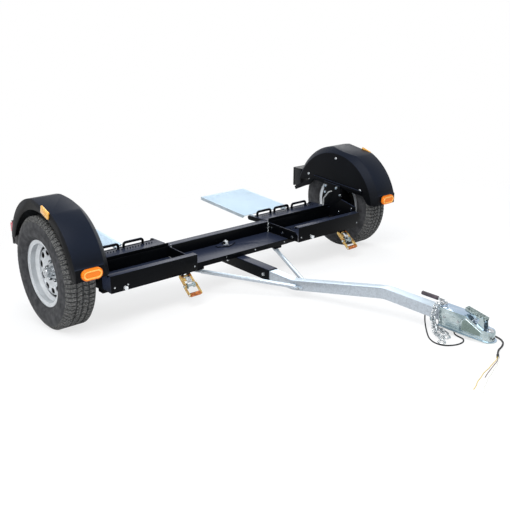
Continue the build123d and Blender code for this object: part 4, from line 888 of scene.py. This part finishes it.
class TOWDOLLY_OT_wheels(Operator):
    """Make the rims with their vents, the hubs, nuts and grease caps"""

    bl_idname = "tow_dolly.wheels"
    bl_label = "Rims and hubs"

    # Sections as (along the axle, radius), with the outboard side at positive x
    BARREL = (
        (-77, 196), (-73, 195.5), (-71.5, 192), (-71.5, 176), (-40, 175), (-36, 171), (-27, 157), (2, 156),
        (22, 158), (34, 173), (38, 175.5), (71.5, 176), (71.5, 192), (73, 195.5), (77, 196), (77, 193.5),
        (74.8, 193), (74, 190.5), (74, 176), (71.5, 172.8), (42, 172), (37.5, 169), (24, 154.4), (2, 152.6),
        (-28, 153.4), (-39, 168), (-42, 171.6), (-74, 172.6), (-74, 190.5), (-75, 193.2), (-77, 193.5),
    )
    # Dark sheets of painted shade: on the barrel's inner face, and inside the skirt behind the vents
    BARREL_SHADE = (
        (19, 152.2), (-28, 152.9), (-40, 167.4), (-73, 171.9), (-73, 171), (-41, 166), (-29, 151.6),
        (19, 151),
    )
    SKIRT_SHADE = (
        (24.6, 132.6), (12, 138.4), (2, 141.4), (-4.5, 147), (-4.5, 146.2), (2, 140.6),
        (12, 137.6), (24.6, 131.8),
    )
    DISC = (
        (15.5, 33.5), (16, 36), (16, 76), (20, 82), (29, 89), (32, 95), (32.5, 112), (32, 130), (28, 137),
        (14, 143), (4, 146), (-1, 149), (-1, 153), (-5, 153), (-5, 148), (2, 142), (12, 139), (25, 133),
        (28, 128), (28.5, 112), (28, 97), (25, 91), (17, 86), (12.5, 78), (12, 60), (12, 33.5),
    )
    DRUM = (
        (12, 17.1), (12, 104), (8, 108), (-14, 108), (-16, 110), (-20, 110), (-22, 108), (-36, 108),
        (-40, 106), (-40, 100), (4, 100), (4, 45), (-34, 45), (-34, 17.1),
    )
    CAP = (
        (11, 17.1), (11, 33), (27, 33), (28, 32.4), (28, 30), (30, 29.4), (33, 29.4), (34, 30), (36, 30),
        (37, 29.2), (58, 28.4), (63, 27), (67, 23), (70, 16), (71.5, 8), (72, 0), (50, 0), (50, 17.1),
    )
    VALVE_STEM = ((6, 0), (6, 5), (16, 4), (18, 3), (36, 3), (37, 2.4), (37, 0))

    def execute(self, context):
        for name, side in SIDES:
            body = f"{name}_wheel"
            wheel = wheel_centre(side) if side > 0 else wheel_centre(side) @ spin(pi, "Z")
            # Barrel: rolled lips, bead seats, humps and drop centre
            bm = bmesh.new()
            lathe(bm, self.BARREL, 120, wheel)
            make_piece(f"{name}_rim_barrel", bm, "silver_wheel", body, (f"{name}_rim",), smooth=30)

            # Painted shade: dark cast iron sheets on the barrel's inner face and inside the disc's skirt
            bm = bmesh.new()
            lathe(bm, self.BARREL_SHADE, 72, wheel)
            lathe(bm, self.SKIRT_SHADE, 72, wheel)
            make_piece(f"{name}_rim_dust", bm, "cast_drum", body, smooth=40)

            # Disc: bolting face, raised ring with ten vents, and the skirt that meets the barrel
            bm = bmesh.new()
            lathe(bm, self.DISC, 120, wheel)
            disc = make_piece(f"{name}_rim_disc", bm, "silver_wheel", body, smooth=30)
            self.cut_vents(disc, wheel)

            # Hub and brake drum behind the disc
            bm = bmesh.new()
            lathe(bm, self.DRUM, 72, wheel)
            make_piece(f"{name}_brake_drum", bm, "cast_drum", body, (f"{name}_hub",), smooth=35)
            bm = bmesh.new()
            lathe(bm, self.CAP, 56, wheel, closed=False)
            make_piece(f"{name}_grease_cap", bm, "bright_steel", body, smooth=35)

            # Nuts: a flange, a hex and a dome
            nut = bmesh.new()
            prism(nut, hexagon(19), shift(0, 0, 1.0), 12)
            lathe(nut, [(0, 0), (0, 12.4), (1.5, 11.5)], 24, UPRIGHT, closed=False)
            lathe(nut, [(13, 9.3), (15.5, 8.4), (16.8, 5.5), (17.2, 0)], 24, UPRIGHT, closed=False)
            places = [turn @ shift(16, 0, STUD_CIRCLE) @ spin(pi / 2, "Y") for turn in around(wheel, 5)]
            repeat(f"{name}_wheel_nuts", nut, places, "bright_steel", body, look="chrome", smooth=25)

            # Valve stem in the disc's skirt
            bm = bmesh.new()
            stem = wheel @ spin(radians(18), "X") @ shift(0, 0, 143)
            lathe(bm, self.VALVE_STEM, 16, stem, closed=False)
            make_piece(f"{name}_valve_stem", bm, "black_plastic", body)
        return {"FINISHED"}

    def cut_vents(self, disc, wheel):
        """Cut ten vents through the disc, with softly pressed lips."""
        bm = bmesh.new()
        flat = [(y, x) for x, y in slot_outline(44, 33)]
        for turn in around(wheel, 10):
            prism(bm, flat, turn @ shift(0, 0, VENT_CIRCLE) @ spin(pi / 2, "Y"), 50)
        vents = new_object("vents", mesh_of("vents", bm))
        cut = disc.modifiers.new("Vents", "BOOLEAN")
        cut.object = vents
        cut.operation = "DIFFERENCE"
        cut.solver = "EXACT"
        soften(disc, "Lips", 0.0011, 50)
        bake(disc)
        disc.data.set_sharp_from_angle(angle=radians(35))
        bpy.data.objects.remove(vents)


# Bed


class TOWDOLLY_OT_bed(Operator):
    """Finish the beam, deck, trays, shelves, loops and hub carriers, with their bolts"""

    bl_idname = "tow_dolly.bed"
    bl_label = "Bed"

    # Places on one side of the dolly, as (y, z) of the chassis
    DECK_BOLTS = ((-250, 262), (-150, 268), (-30, 276))
    CARRIER_BOLTS = (
        (-215, 290), (-215, 340), (-90, 290), (-60, 470), (50, 470), (54, 420), (52, 260), (-100, 420),
    )
    # The same with a size, where a fender meets its bar and carrier
    FENDER_BOLTS = (
        (-19, 683, 1.0), (265, 521, 1.0), (42, 488, 0.9), (-53, 479, 0.8), (-270, 487, 1.0), (256, 478, 0.7),
    )

    def execute(self, context):
        sizes = context.scene.tow_dolly_sizes
        round_mm = sizes.edge_round * 1000
        for node, edge in (
            ("axle_beam", 3.0), ("centre_deck", round_mm), ("front_cross_tube", 2.0),
            ("tray_dividers", round_mm), ("wheel_trays", round_mm), ("rear_shelves", round_mm),
            ("fender_bars", round_mm),
            ("left_hub_carrier", round_mm), ("right_hub_carrier", round_mm), ("brake_backing_plates", 1.0),
            ("pivot_plate", round_mm), ("tongue_sleeve", 1.5), ("tongue_saddle", round_mm),
            ("brace_brackets", round_mm),
        ):
            dress(node, "black_steel", edge)
        # The strap loops' rod is dipped in the powder coat until it is thick and soft
        bm = from_node("strap_loops")
        bm.normal_update()
        for vertex in bm.verts:
            vertex.co += vertex.normal * 0.0022
        make_piece("finished_strap_loops", bm, "black_steel", "chassis", ("strap_loops",), smooth=50)
        dress("pivot_bolt", "bright_steel", 1.2)
        dress("brake_hoses", "hose_rubber", 0)
        dress("tray_knobs", "bright_steel", 2.0, look="satin")

        # Hex bolts, each turned a little differently; the fenders' have low round heads
        forward, rearward = (0, -1, 0), (0, 1, 0)
        bolts = []
        for start in TRAY_STARTS:
            for x in (22, 150, 300, 450, TRAY_LENGTH - 22):
                bolts.append(facing((start + x, 154, SHELF_TOP - 13), rearward, 0.3 * x, 0.6))
            for x in (22, 108, TRAY_LENGTH - 22):
                bolts.append(facing((start + x, -311, 268), forward, 0.2 * x, 0.42))
        for x in (-380, -120, 120, 380):
            bolts.append(facing((x, -211, 226), forward, 0.2 * x, 0.4))
        fender_bolts = []
        for side in (1, -1):
            inward = (-side, 0, 0)
            bolts += [facing((side * DECK_HALF, y, z), inward, 0.1 * y, 0.75) for y, z in self.DECK_BOLTS]
            for y, z in self.CARRIER_BOLTS:
                bolts.append(facing((side * CARRIER_INNER, y, z), inward, 0.1 * y, 0.9))
            for y, z, size in self.FENDER_BOLTS:
                fender_bolts.append(facing((side * FENDER_INNER, y, z), inward, 0, size))
        repeat("bed_bolts", hex_bolt(sizes.bolt_across * 1000), bolts, "bright_steel")
        repeat("fender_bolts", dome_bolt(10.5), fender_bolts, "bright_steel")

        # Rows of small pegs along the shelves' rear edges, between the strap loops' feet
        peg = bmesh.new()
        lathe(peg, [(0, 0), (0, 4.2), (4.2, 4.2), (5.4, 3.0), (5.4, 0)], 8, UPRIGHT, closed=False)
        pegs = [
            facing((start + 44 + k * 20, 118, SHELF_TOP), (0, 0, 1))
            for start in TRAY_STARTS
            for k in range(26)
        ]
        repeat("shelf_pegs", peg, pegs, "black_steel")

        # Clip chains at the corners where the dividers meet the beam
        link = bmesh.new()
        oval = [Vector((9 * cos(a), 4.6 * sin(a), 0)) for a in [2 * pi * k / 16 for k in range(16)]]
        ring_tube(link, oval, 1.5, 8, True)
        places = []
        for side in (1, -1):
            for k in range(6):
                spot = CHASSIS @ shift(side * (DECK_HALF - 7), -6, FLOOR_HEIGHT + 9 + 12.5 * k)
                places.append(spot @ spin(pi / 2, "Y") @ spin(k * pi / 2, "X"))
        repeat("divider_chains", link, places, "bright_steel", look="chain")
        return {"FINISHED"}


class TOWDOLLY_OT_ramps(Operator):
    """Make both loading ramps with their raised mesh"""

    bl_idname = "tow_dolly.ramps"
    bl_label = "Ramps"

    def execute(self, context):
        pitch = context.scene.tow_dolly_sizes.mesh_pitch * 1000
        mesh_length, mesh_width = 510, 405
        rows, columns = int(mesh_length / (pitch / 2)), int(mesh_width / pitch)
        for (name, _), start in zip(SIDES, TRAY_STARTS):
            dress(f"{name}_ramp", "ramp_steel", 1.5)
            hinge = CHASSIS @ shift(start - 35, *RAMP_ROD) @ spin(RAMP_RISE, "X")
            plate = hinge @ shift(0, 0, RAMP_TOP_ABOVE_ROD)
            # One raised diamond of the mesh, with a short ridge
            unit = bmesh.new()
            rim = [unit.verts.new(v) for v in ((-5.2, 0, 0), (0, -2.6, 0), (5.2, 0, 0), (0, 2.6, 0))]
            top = [unit.verts.new(v) for v in ((-3, 0, 0.9), (3, 0, 0.9))]
            unit.faces.new((rim[0], rim[1], top[1], top[0]))
            unit.faces.new((rim[1], rim[2], top[1]))
            unit.faces.new((rim[2], rim[3], top[0], top[1]))
            unit.faces.new((rim[3], rim[0], top[0]))
            unit.faces.new(rim[::-1])
            places = [
                plate @ shift(10 + (i + 0.5 * (j % 2)) * pitch, 36 + j * pitch / 2, -0.1)
                for j in range(rows)
                for i in range(columns)
            ]
            repeat(f"{name}_ramp_mesh", unit, places, "ramp_steel", f"{name}_ramp_body", smooth=10)
        return {"FINISHED"}


class TOWDOLLY_OT_fenders(Operator):
    """Finish the fenders, lamps, reflectors and tail lamps"""

    bl_idname = "tow_dolly.fenders"
    bl_label = "Fenders and lamps"

    def execute(self, context):
        for name, _ in SIDES:
            dress(f"{name}_fender", "fender_plastic", 3.0, smooth=30)
        dress("tail_lamp_boxes", "black_plastic", 3.0)
        dress("tail_lamp_lenses", "red_lens", 2.0)
        dress("marker_lamps", "amber_lens", 1.0)
        dress("side_reflectors", "amber_lens", 2.0, look="reflex")

        # Housing walls round the tail lamps' lenses, open where the side strip turns the corner
        bm = bmesh.new()
        for side in (1, -1):
            self.lamp_walls(bm, side)
        make_piece("tail_lamp_walls", bm, "black_plastic", round_mm=0.8)

        # Black bezels round the marker lamps, and a raised ring on each lens in the paler reflector amber, a
        # painted highlight round the lens.
        # Each is a slot's ring, its section given as (length, width, height).
        bezel = ((128, 68, 0.0), (128, 68, 3.0), (116, 56, 4.5), (116, 56, 0.0))
        lens_ring = ((106, 46, -0.6), (104, 44, 1.8), (92, 32, 1.8), (90, 30, -0.6))
        for name, slot, look, y, section in (
            ("marker_bezels", "black_plastic", "", MARKER_PANEL, bezel),
            ("marker_lens_rings", "amber_lens", "reflex", MARKER_FACE, lens_ring),
        ):
            bm = bmesh.new()
            for side in (1, -1):
                place = CHASSIS @ shift(side * MARKER_X, y, MARKER_Z) @ spin(pi / 2, "X")
                rings = []
                for length, width, height in section:
                    outline = slot_outline(length, width, 12)
                    rings.append([bm.verts.new(place @ Vector((x, y, height))) for x, y in outline])
                bridge(bm, rings, True)
            make_piece(name, bm, slot, smooth=40, look=look)
        return {"FINISHED"}

    def lamp_walls(self, bm, side):
        """Thin walls round a tail lamp's lens; the outboard one leaves a red strip at the top."""
        half, bottom, top, depth = 70.0, 385.0, 530.0, 17.6
        wall, strip, seam = 2.8, 44.0, 0.1
        inboard, outboard = side * TAIL_X - side * half, side * TAIL_X + side * half
        place = CHASSIS @ shift(0, TAIL_REAR, 0)
        for first, last, low, high in (
            (inboard, outboard, bottom, bottom + wall),
            (inboard, outboard, top - wall, top),
            (inboard, inboard + side * wall, bottom + wall + seam, top - wall - seam),
            (outboard, outboard + side * wall, bottom, top - strip),
        ):
            x0, x1 = sorted((first, last))
            outline = ((x0, seam), (x1, seam), (x1, depth), (x0, depth))
            prism(bm, outline, place @ shift(0, 0, low), high - low)


# Drawbar


class TOWDOLLY_OT_drawbar(Operator):
    """Finish the tongue, braces and coupler, with the latch and the pull pin"""

    bl_idname = "tow_dolly.drawbar"
    bl_label = "Drawbar"

    def execute(self, context):
        dress("tongue", "galvanised_steel", 0, smooth=40)
        dress("tongue_braces", "galvanised_steel", 1.0)
        dress("coupler", "zinc_plate", 1.6)
        dress("coupler_latch", "zinc_plate", 0.8, look="rolled")
        dress("pull_pin", "bright_steel", 0)
        dress("pull_pin_grip", "grip_vinyl", 0.8)
        dress("chain_staple", "zinc_plate", 0)

        # Pressed panels and ribs in the coupler's sides, as outlines of (y, z)
        arch = filleted(((-1921, 296), (-1926, 381), (-2049, 322), (-2051, 296)), (26, 12), 3.0)
        upper = [(-1832, 352), (-1896, 352), (-1904, 358), (-1896, 364), (-1832, 364)]
        bm = bmesh.new()
        for side in (1, -1):
            self.emboss(bm, arch, side, 3.4, 0.86)
            self.emboss(bm, upper, side, 1.6, 0.8)
            for z in (303, 319):
                rib = [(-1868 + length, z + height) for length, height in slot_outline(86, 8)]
                self.emboss(bm, rib, side, 2.0, 0.8)
        make_piece("coupler_pressings", bm, "zinc_plate", smooth=30, merge=True)
        # The arch's inner panel, in the darker zinc: painted shade of the pressing's recess
        middle = sum(arch, Vector((0, 0))) / len(arch)
        inner = [middle + (point - middle) * 0.82 for point in arch]
        bm = bmesh.new()
        for side in (1, -1):
            self.emboss(bm, inner, side, 4.0, 0.96)
        make_piece("coupler_panels", bm, "zinc_plate", smooth=30, look="panel", merge=True)

        # The bright dome over the ball's socket
        bm = bmesh.new()
        dome = [(8 * cos(k * pi / 16), 17 * sin(k * pi / 16)) for k in range(9)]
        lathe(bm, [*dome, (-4, 17), (-4, 0)], 32, CHASSIS @ shift(0, -2066, 334.5) @ UPRIGHT, closed=False)
        make_piece("coupler_dome", bm, "bright_steel", smooth=40)

        # Grip teeth rolled across the latch lever's top
        tooth = bmesh.new()
        prism(tooth, ((-13, -1.5), (13, -1.5), (13, 1.5), (-13, 1.5)), shift(0, 0, -0.2), 1.6)
        start, end = Vector((0, LATCH_PIN_Y - 20, 390)), Vector((0, LATCH_PIN_Y + 96, 413))
        slope = (end - start).normalized()
        lean = spin(atan2(slope.z, slope.y), "X")
        count = 20
        spots = [start.lerp(end, 0.05 + 0.9 * k / (count - 1)) for k in range(count)]
        teeth = [CHASSIS @ Matrix.Translation(spot) @ lean for spot in spots]
        repeat("latch_teeth", tooth, teeth, "zinc_plate", body_of("coupler_latch"), look="rolled")

        bolts = []
        for y in (-1832, -1912):
            for side in (1, -1):
                bolts.append(facing((side * COUPLER_HALF, y, 337), (side, 0, 0), 0.2, 0.6))
        for side in (1, -1):
            for x, y, z, turn in (
                (TONGUE_HALF, -480, 168, 0.2), (TONGUE_HALF, -120, 168, 0.5), (39.9, -800, 170, 0.1),
            ):
                bolts.append(facing((side * x, y, z), (side, 0, 0), turn, 1.0))
        repeat("drawbar_bolts", hex_bolt(18), bolts, "bright_steel")
        return {"FINISHED"}

    def emboss(self, bm, outline, side, height, share):
        """Raise an outline from the coupler's side, with walls that slope in to a share of its size."""
        middle = middle_of(outline)
        rings = []
        for scale, rise in ((1.0, -0.5), (1.0, 0.2), ((1 + share) / 2, height * 0.75), (share, height)):
            ring = []
            for y, z in [middle + (Vector(point) - middle) * scale for point in outline]:
                # The sides taper in ahead of the shoulder
                face = COUPLER_HALF - COUPLER_TAPER * max(0, COUPLER_SHOULDER - y)
                ring.append(bm.verts.new(on_chassis(side * (face + rise), y, z)))
            rings.append(ring)
        bm.faces.new(rings[-1])
        bridge(bm, rings)


class TOWDOLLY_OT_chains(Operator):
    """Lay both safety chains link by link, with their hooks"""

    bl_idname = "tow_dolly.chains"
    bl_label = "Safety chains"

    def execute(self, context):
        wire = context.scene.tow_dolly_sizes.link_wire * 1000
        inner_half, slack = 7.0, 0.4
        hook_wire, hook_mouth = 5.0, 28
        low = inner_half + 2 * wire + REST_GAP
        over_tongue = (
            (34, -1824, low), (54, -1761, low), (54, -1767, 152), (0, -1768, 142), (-54, -1767, 152),
            (-54, -1761, low), (-92, -1812, low), (-114, -1848, low),
        )
        from_staple = ((0, -1719, 50.5), (0, -1719, low), (-26, -1772, low), (-48, -1822, low))
        # Each chain's route, the radii of its bends, the way its links' flats start and its first roll
        courses = (
            (over_tongue, (44, 43, 60, 43, 44, 60), Vector((0, 1, 0)), 45),
            (from_staple, (36, 60), Vector((1, 0, 0)), 90),
        )
        places, hooks = [], []
        for route, radii, sideways, first_roll in courses:
            joints = []
            for point in filleted(route, radii, 0.4):
                if not joints or (point - joints[-1]).length >= CHAIN_PITCH:
                    joints.append(point)
            last = len(joints) - 2
            # Each link is a quarter turn on, with a small drift that lays the last one flat
            drift = (90 - first_roll - 90 * last + 90) % 180 - 90
            for index, (start, end) in enumerate(zip(joints, joints[1:])):
                along = (end - start).normalized()
                up = along.cross(sideways).normalized()
                up.rotate(Matrix.Rotation(radians(first_roll + index * (90 + drift / last)), 3, along))
                places.append(self.place((start + end) / 2, along, up))
            fall = hook_wire + REST_GAP - end.z
            down = Vector((along.x * HOOK_LENGTH, along.y * HOOK_LENGTH, fall)).normalized()
            hooks.append(self.place(end, down, down.cross(Vector((along.y, -along.x, 0))).normalized()))

        oval = self.oval(CHAIN_PITCH / 2 + wire + slack, inner_half + wire)
        unit = bmesh.new()
        ring_tube(unit, oval, wire, 10, True)
        self.lay("safety_chain_links", unit, places, "safety_chains")

        unit = bmesh.new()
        ring_tube(unit, [point + Vector((CHAIN_PITCH / 2, 0, 0)) for point in oval], wire, 10, True)
        bend = ((28.2, 0, 0), (HOOK_LENGTH, 0, 0), (HOOK_LENGTH, hook_mouth, 0), (38, hook_mouth, 0))
        ring_tube(unit, filleted(bend, (13.4, 13.4), 2.5), hook_wire, 12, False)
        # The spring latch across the hook's mouth, and a collar at its neck
        ring_tube(unit, [Vector((33, 3, 0)), Vector((37, 12, 0)), Vector((40, 23.5, 0))], 1.6, 8, False)
        lathe(unit, [(27, 0), (27, 6.4), (33, 6.4), (33, 0)], 16, Matrix.Identity(4), closed=False)
        self.lay("safety_chain_hooks", unit, hooks, "chain_hooks")
        return {"FINISHED"}

    def lay(self, name, unit, places, node):
        repeat(name, unit, places, "zinc_plate", "chassis", (node,), "chain", smooth=50)

    def place(self, point, x_axis, z_axis):
        """A place at a route's point, with its x and z axes given."""
        turn = Matrix((x_axis, z_axis.cross(x_axis), z_axis)).transposed().to_4x4()
        return Matrix.Translation(on_floor(point)) @ turn @ TO_METRES

    def oval(self, half_long, half_wide):
        """The centreline of one link: straight sides and rounded ends."""
        corner = half_wide * 0.4
        outline = []
        for sx, sy in ((-1, -1), (1, -1), (1, 1), (-1, 1)):
            bend = Vector((sx * (half_long - corner), sy * (half_wide - corner), 0))
            begin = atan2(sy, sx) - pi / 4
            for a in [begin + k * pi / 8 for k in range(5)]:
                outline.append(bend + corner * Vector((cos(a), sin(a), 0)))
        return outline


class TOWDOLLY_OT_ratchets(Operator):
    """Finish the ratchet winches with their sleeves, covers and rivets"""

    bl_idname = "tow_dolly.ratchets"
    bl_label = "Ratchet winches"

    # Distances down the ratchet from its top bolt
    SPOOL_RUN, GRIP_RUN = 70, 134
    COVER = (
        (14, -17.6), (47, -17.6), (52, -15), (55, -10.5), (53.6, -10), (51, -13.8), (46.6, -16.2),
        (14, -16.2),
    )
    TAB = ((20, -19.4), (38, -19.4), (38, -17.4), (20, -17.4))

    def execute(self, context):
        dress("ratchet_frames", "gold_zinc", 0.6)
        dress("ratchet_hangers", "black_steel", 0.6)
        # x runs down the ratchet from its top bolt, z across the dolly, y to its underside
        lean = radians(39)
        turn = Matrix(((0, 0, 1), (-cos(lean), sin(lean), 0), (-sin(lean), -cos(lean), 0))).to_4x4()
        frames = body_of("ratchet_frames")
        for name, middle in (("left", 870), ("right", -505)):
            dress(f"{name}_ratchet_spool", "zinc_plate", 0.5)
            dress(f"{name}_ratchet_handle", "gold_zinc", 0.6)
            handle, spool = body_of(f"{name}_ratchet_handle"), body_of(f"{name}_ratchet_spool")
            place = CHASSIS @ shift(middle, -290, 214) @ turn

            # Rolled sleeves on the top bolt and on the grip rod
            for label, spans, run, inner, outer, body in (
                ("top_sleeves", ((-32.5, -21), (21, 32.5)), 0, 6.1, 8.4, frames),
                ("grip_sleeve", ((-34, -3), (3, 34)), self.GRIP_RUN, 9.1, 13.2, handle),
            ):
                bm = bmesh.new()
                for start, end in spans:
                    edge = [(start, outer - 1), (start + 1, outer), (end - 1, outer), (end, outer - 1)]
                    lathe(bm, [(start, inner), *edge, (end, inner)], 28, place @ shift(run, 0, 0) @ UPRIGHT)
                make_piece(f"{name}_ratchet_{label}", bm, "gold_zinc", body, smooth=40, look="copper")

            # The sprung cover over the frame's web, with its folded tab
            bm = bmesh.new()
            prism(bm, self.COVER, place @ shift(0, 0, -17), 34)
            prism(bm, self.TAB, place @ shift(0, 0, -9), 18)
            make_piece(f"{name}_ratchet_cover", bm, "bright_steel", frames, round_mm=0.5)

            # Riveted ends of the spool and the grip rod
            for label, run, half, radius, body in (
                ("grip_rivets", self.GRIP_RUN, 44.4, 7, handle),
                ("spool_rivets", self.SPOOL_RUN, 47.4, 6, spool),
            ):
                rivets = []
                for end in (1, -1):
                    rivets.append(place @ shift(run, 0, end * half) @ spin(pi / 2 - end * pi / 2, "X"))
                repeat(f"{name}_{label}", dome_bolt(radius), rivets, "bright_steel", body)
        return {"FINISHED"}


class TOWDOLLY_PT_panel(Panel):
    """Lists the dolly's sizes, colours and steps"""

    bl_idname = "TOWDOLLY_PT_panel"
    bl_label = "Tow dolly"
    bl_space_type = "VIEW_3D"
    bl_region_type = "UI"
    bl_category = "Tow dolly"

    def draw(self, context):
        for group in ("tow_dolly_sizes", "tow_dolly_colours", "tow_dolly_stage"):
            values = getattr(context.scene, group)
            for name in values.__annotations__:
                self.layout.prop(values, name)
        for step in STEPS:
            self.layout.operator(step.bl_idname)


STEPS = (
    TOWDOLLY_OT_stage,
    TOWDOLLY_OT_wiring,
    TOWDOLLY_OT_tyres,
    TOWDOLLY_OT_wheels,
    TOWDOLLY_OT_bed,
    TOWDOLLY_OT_ramps,
    TOWDOLLY_OT_fenders,
    TOWDOLLY_OT_drawbar,
    TOWDOLLY_OT_chains,
    TOWDOLLY_OT_ratchets,
)
CLASSES = (TowDollySizes, TowDollyColours, TowDollyStage, *STEPS, TOWDOLLY_PT_panel)


def register():
    for item in CLASSES:
        bpy.utils.register_class(item)
    bpy.types.Scene.tow_dolly_sizes = PointerProperty(type=TowDollySizes)
    bpy.types.Scene.tow_dolly_colours = PointerProperty(type=TowDollyColours)
    bpy.types.Scene.tow_dolly_stage = PointerProperty(type=TowDollyStage)


def unregister():
    del bpy.types.Scene.tow_dolly_stage
    del bpy.types.Scene.tow_dolly_colours
    del bpy.types.Scene.tow_dolly_sizes
    for item in reversed(CLASSES):
        bpy.utils.unregister_class(item)


def main():
    register()
    for step in STEPS:
        group, name = step.bl_idname.split(".")
        getattr(getattr(bpy.ops, group), name)()


if __name__ == "__main__":
    main()
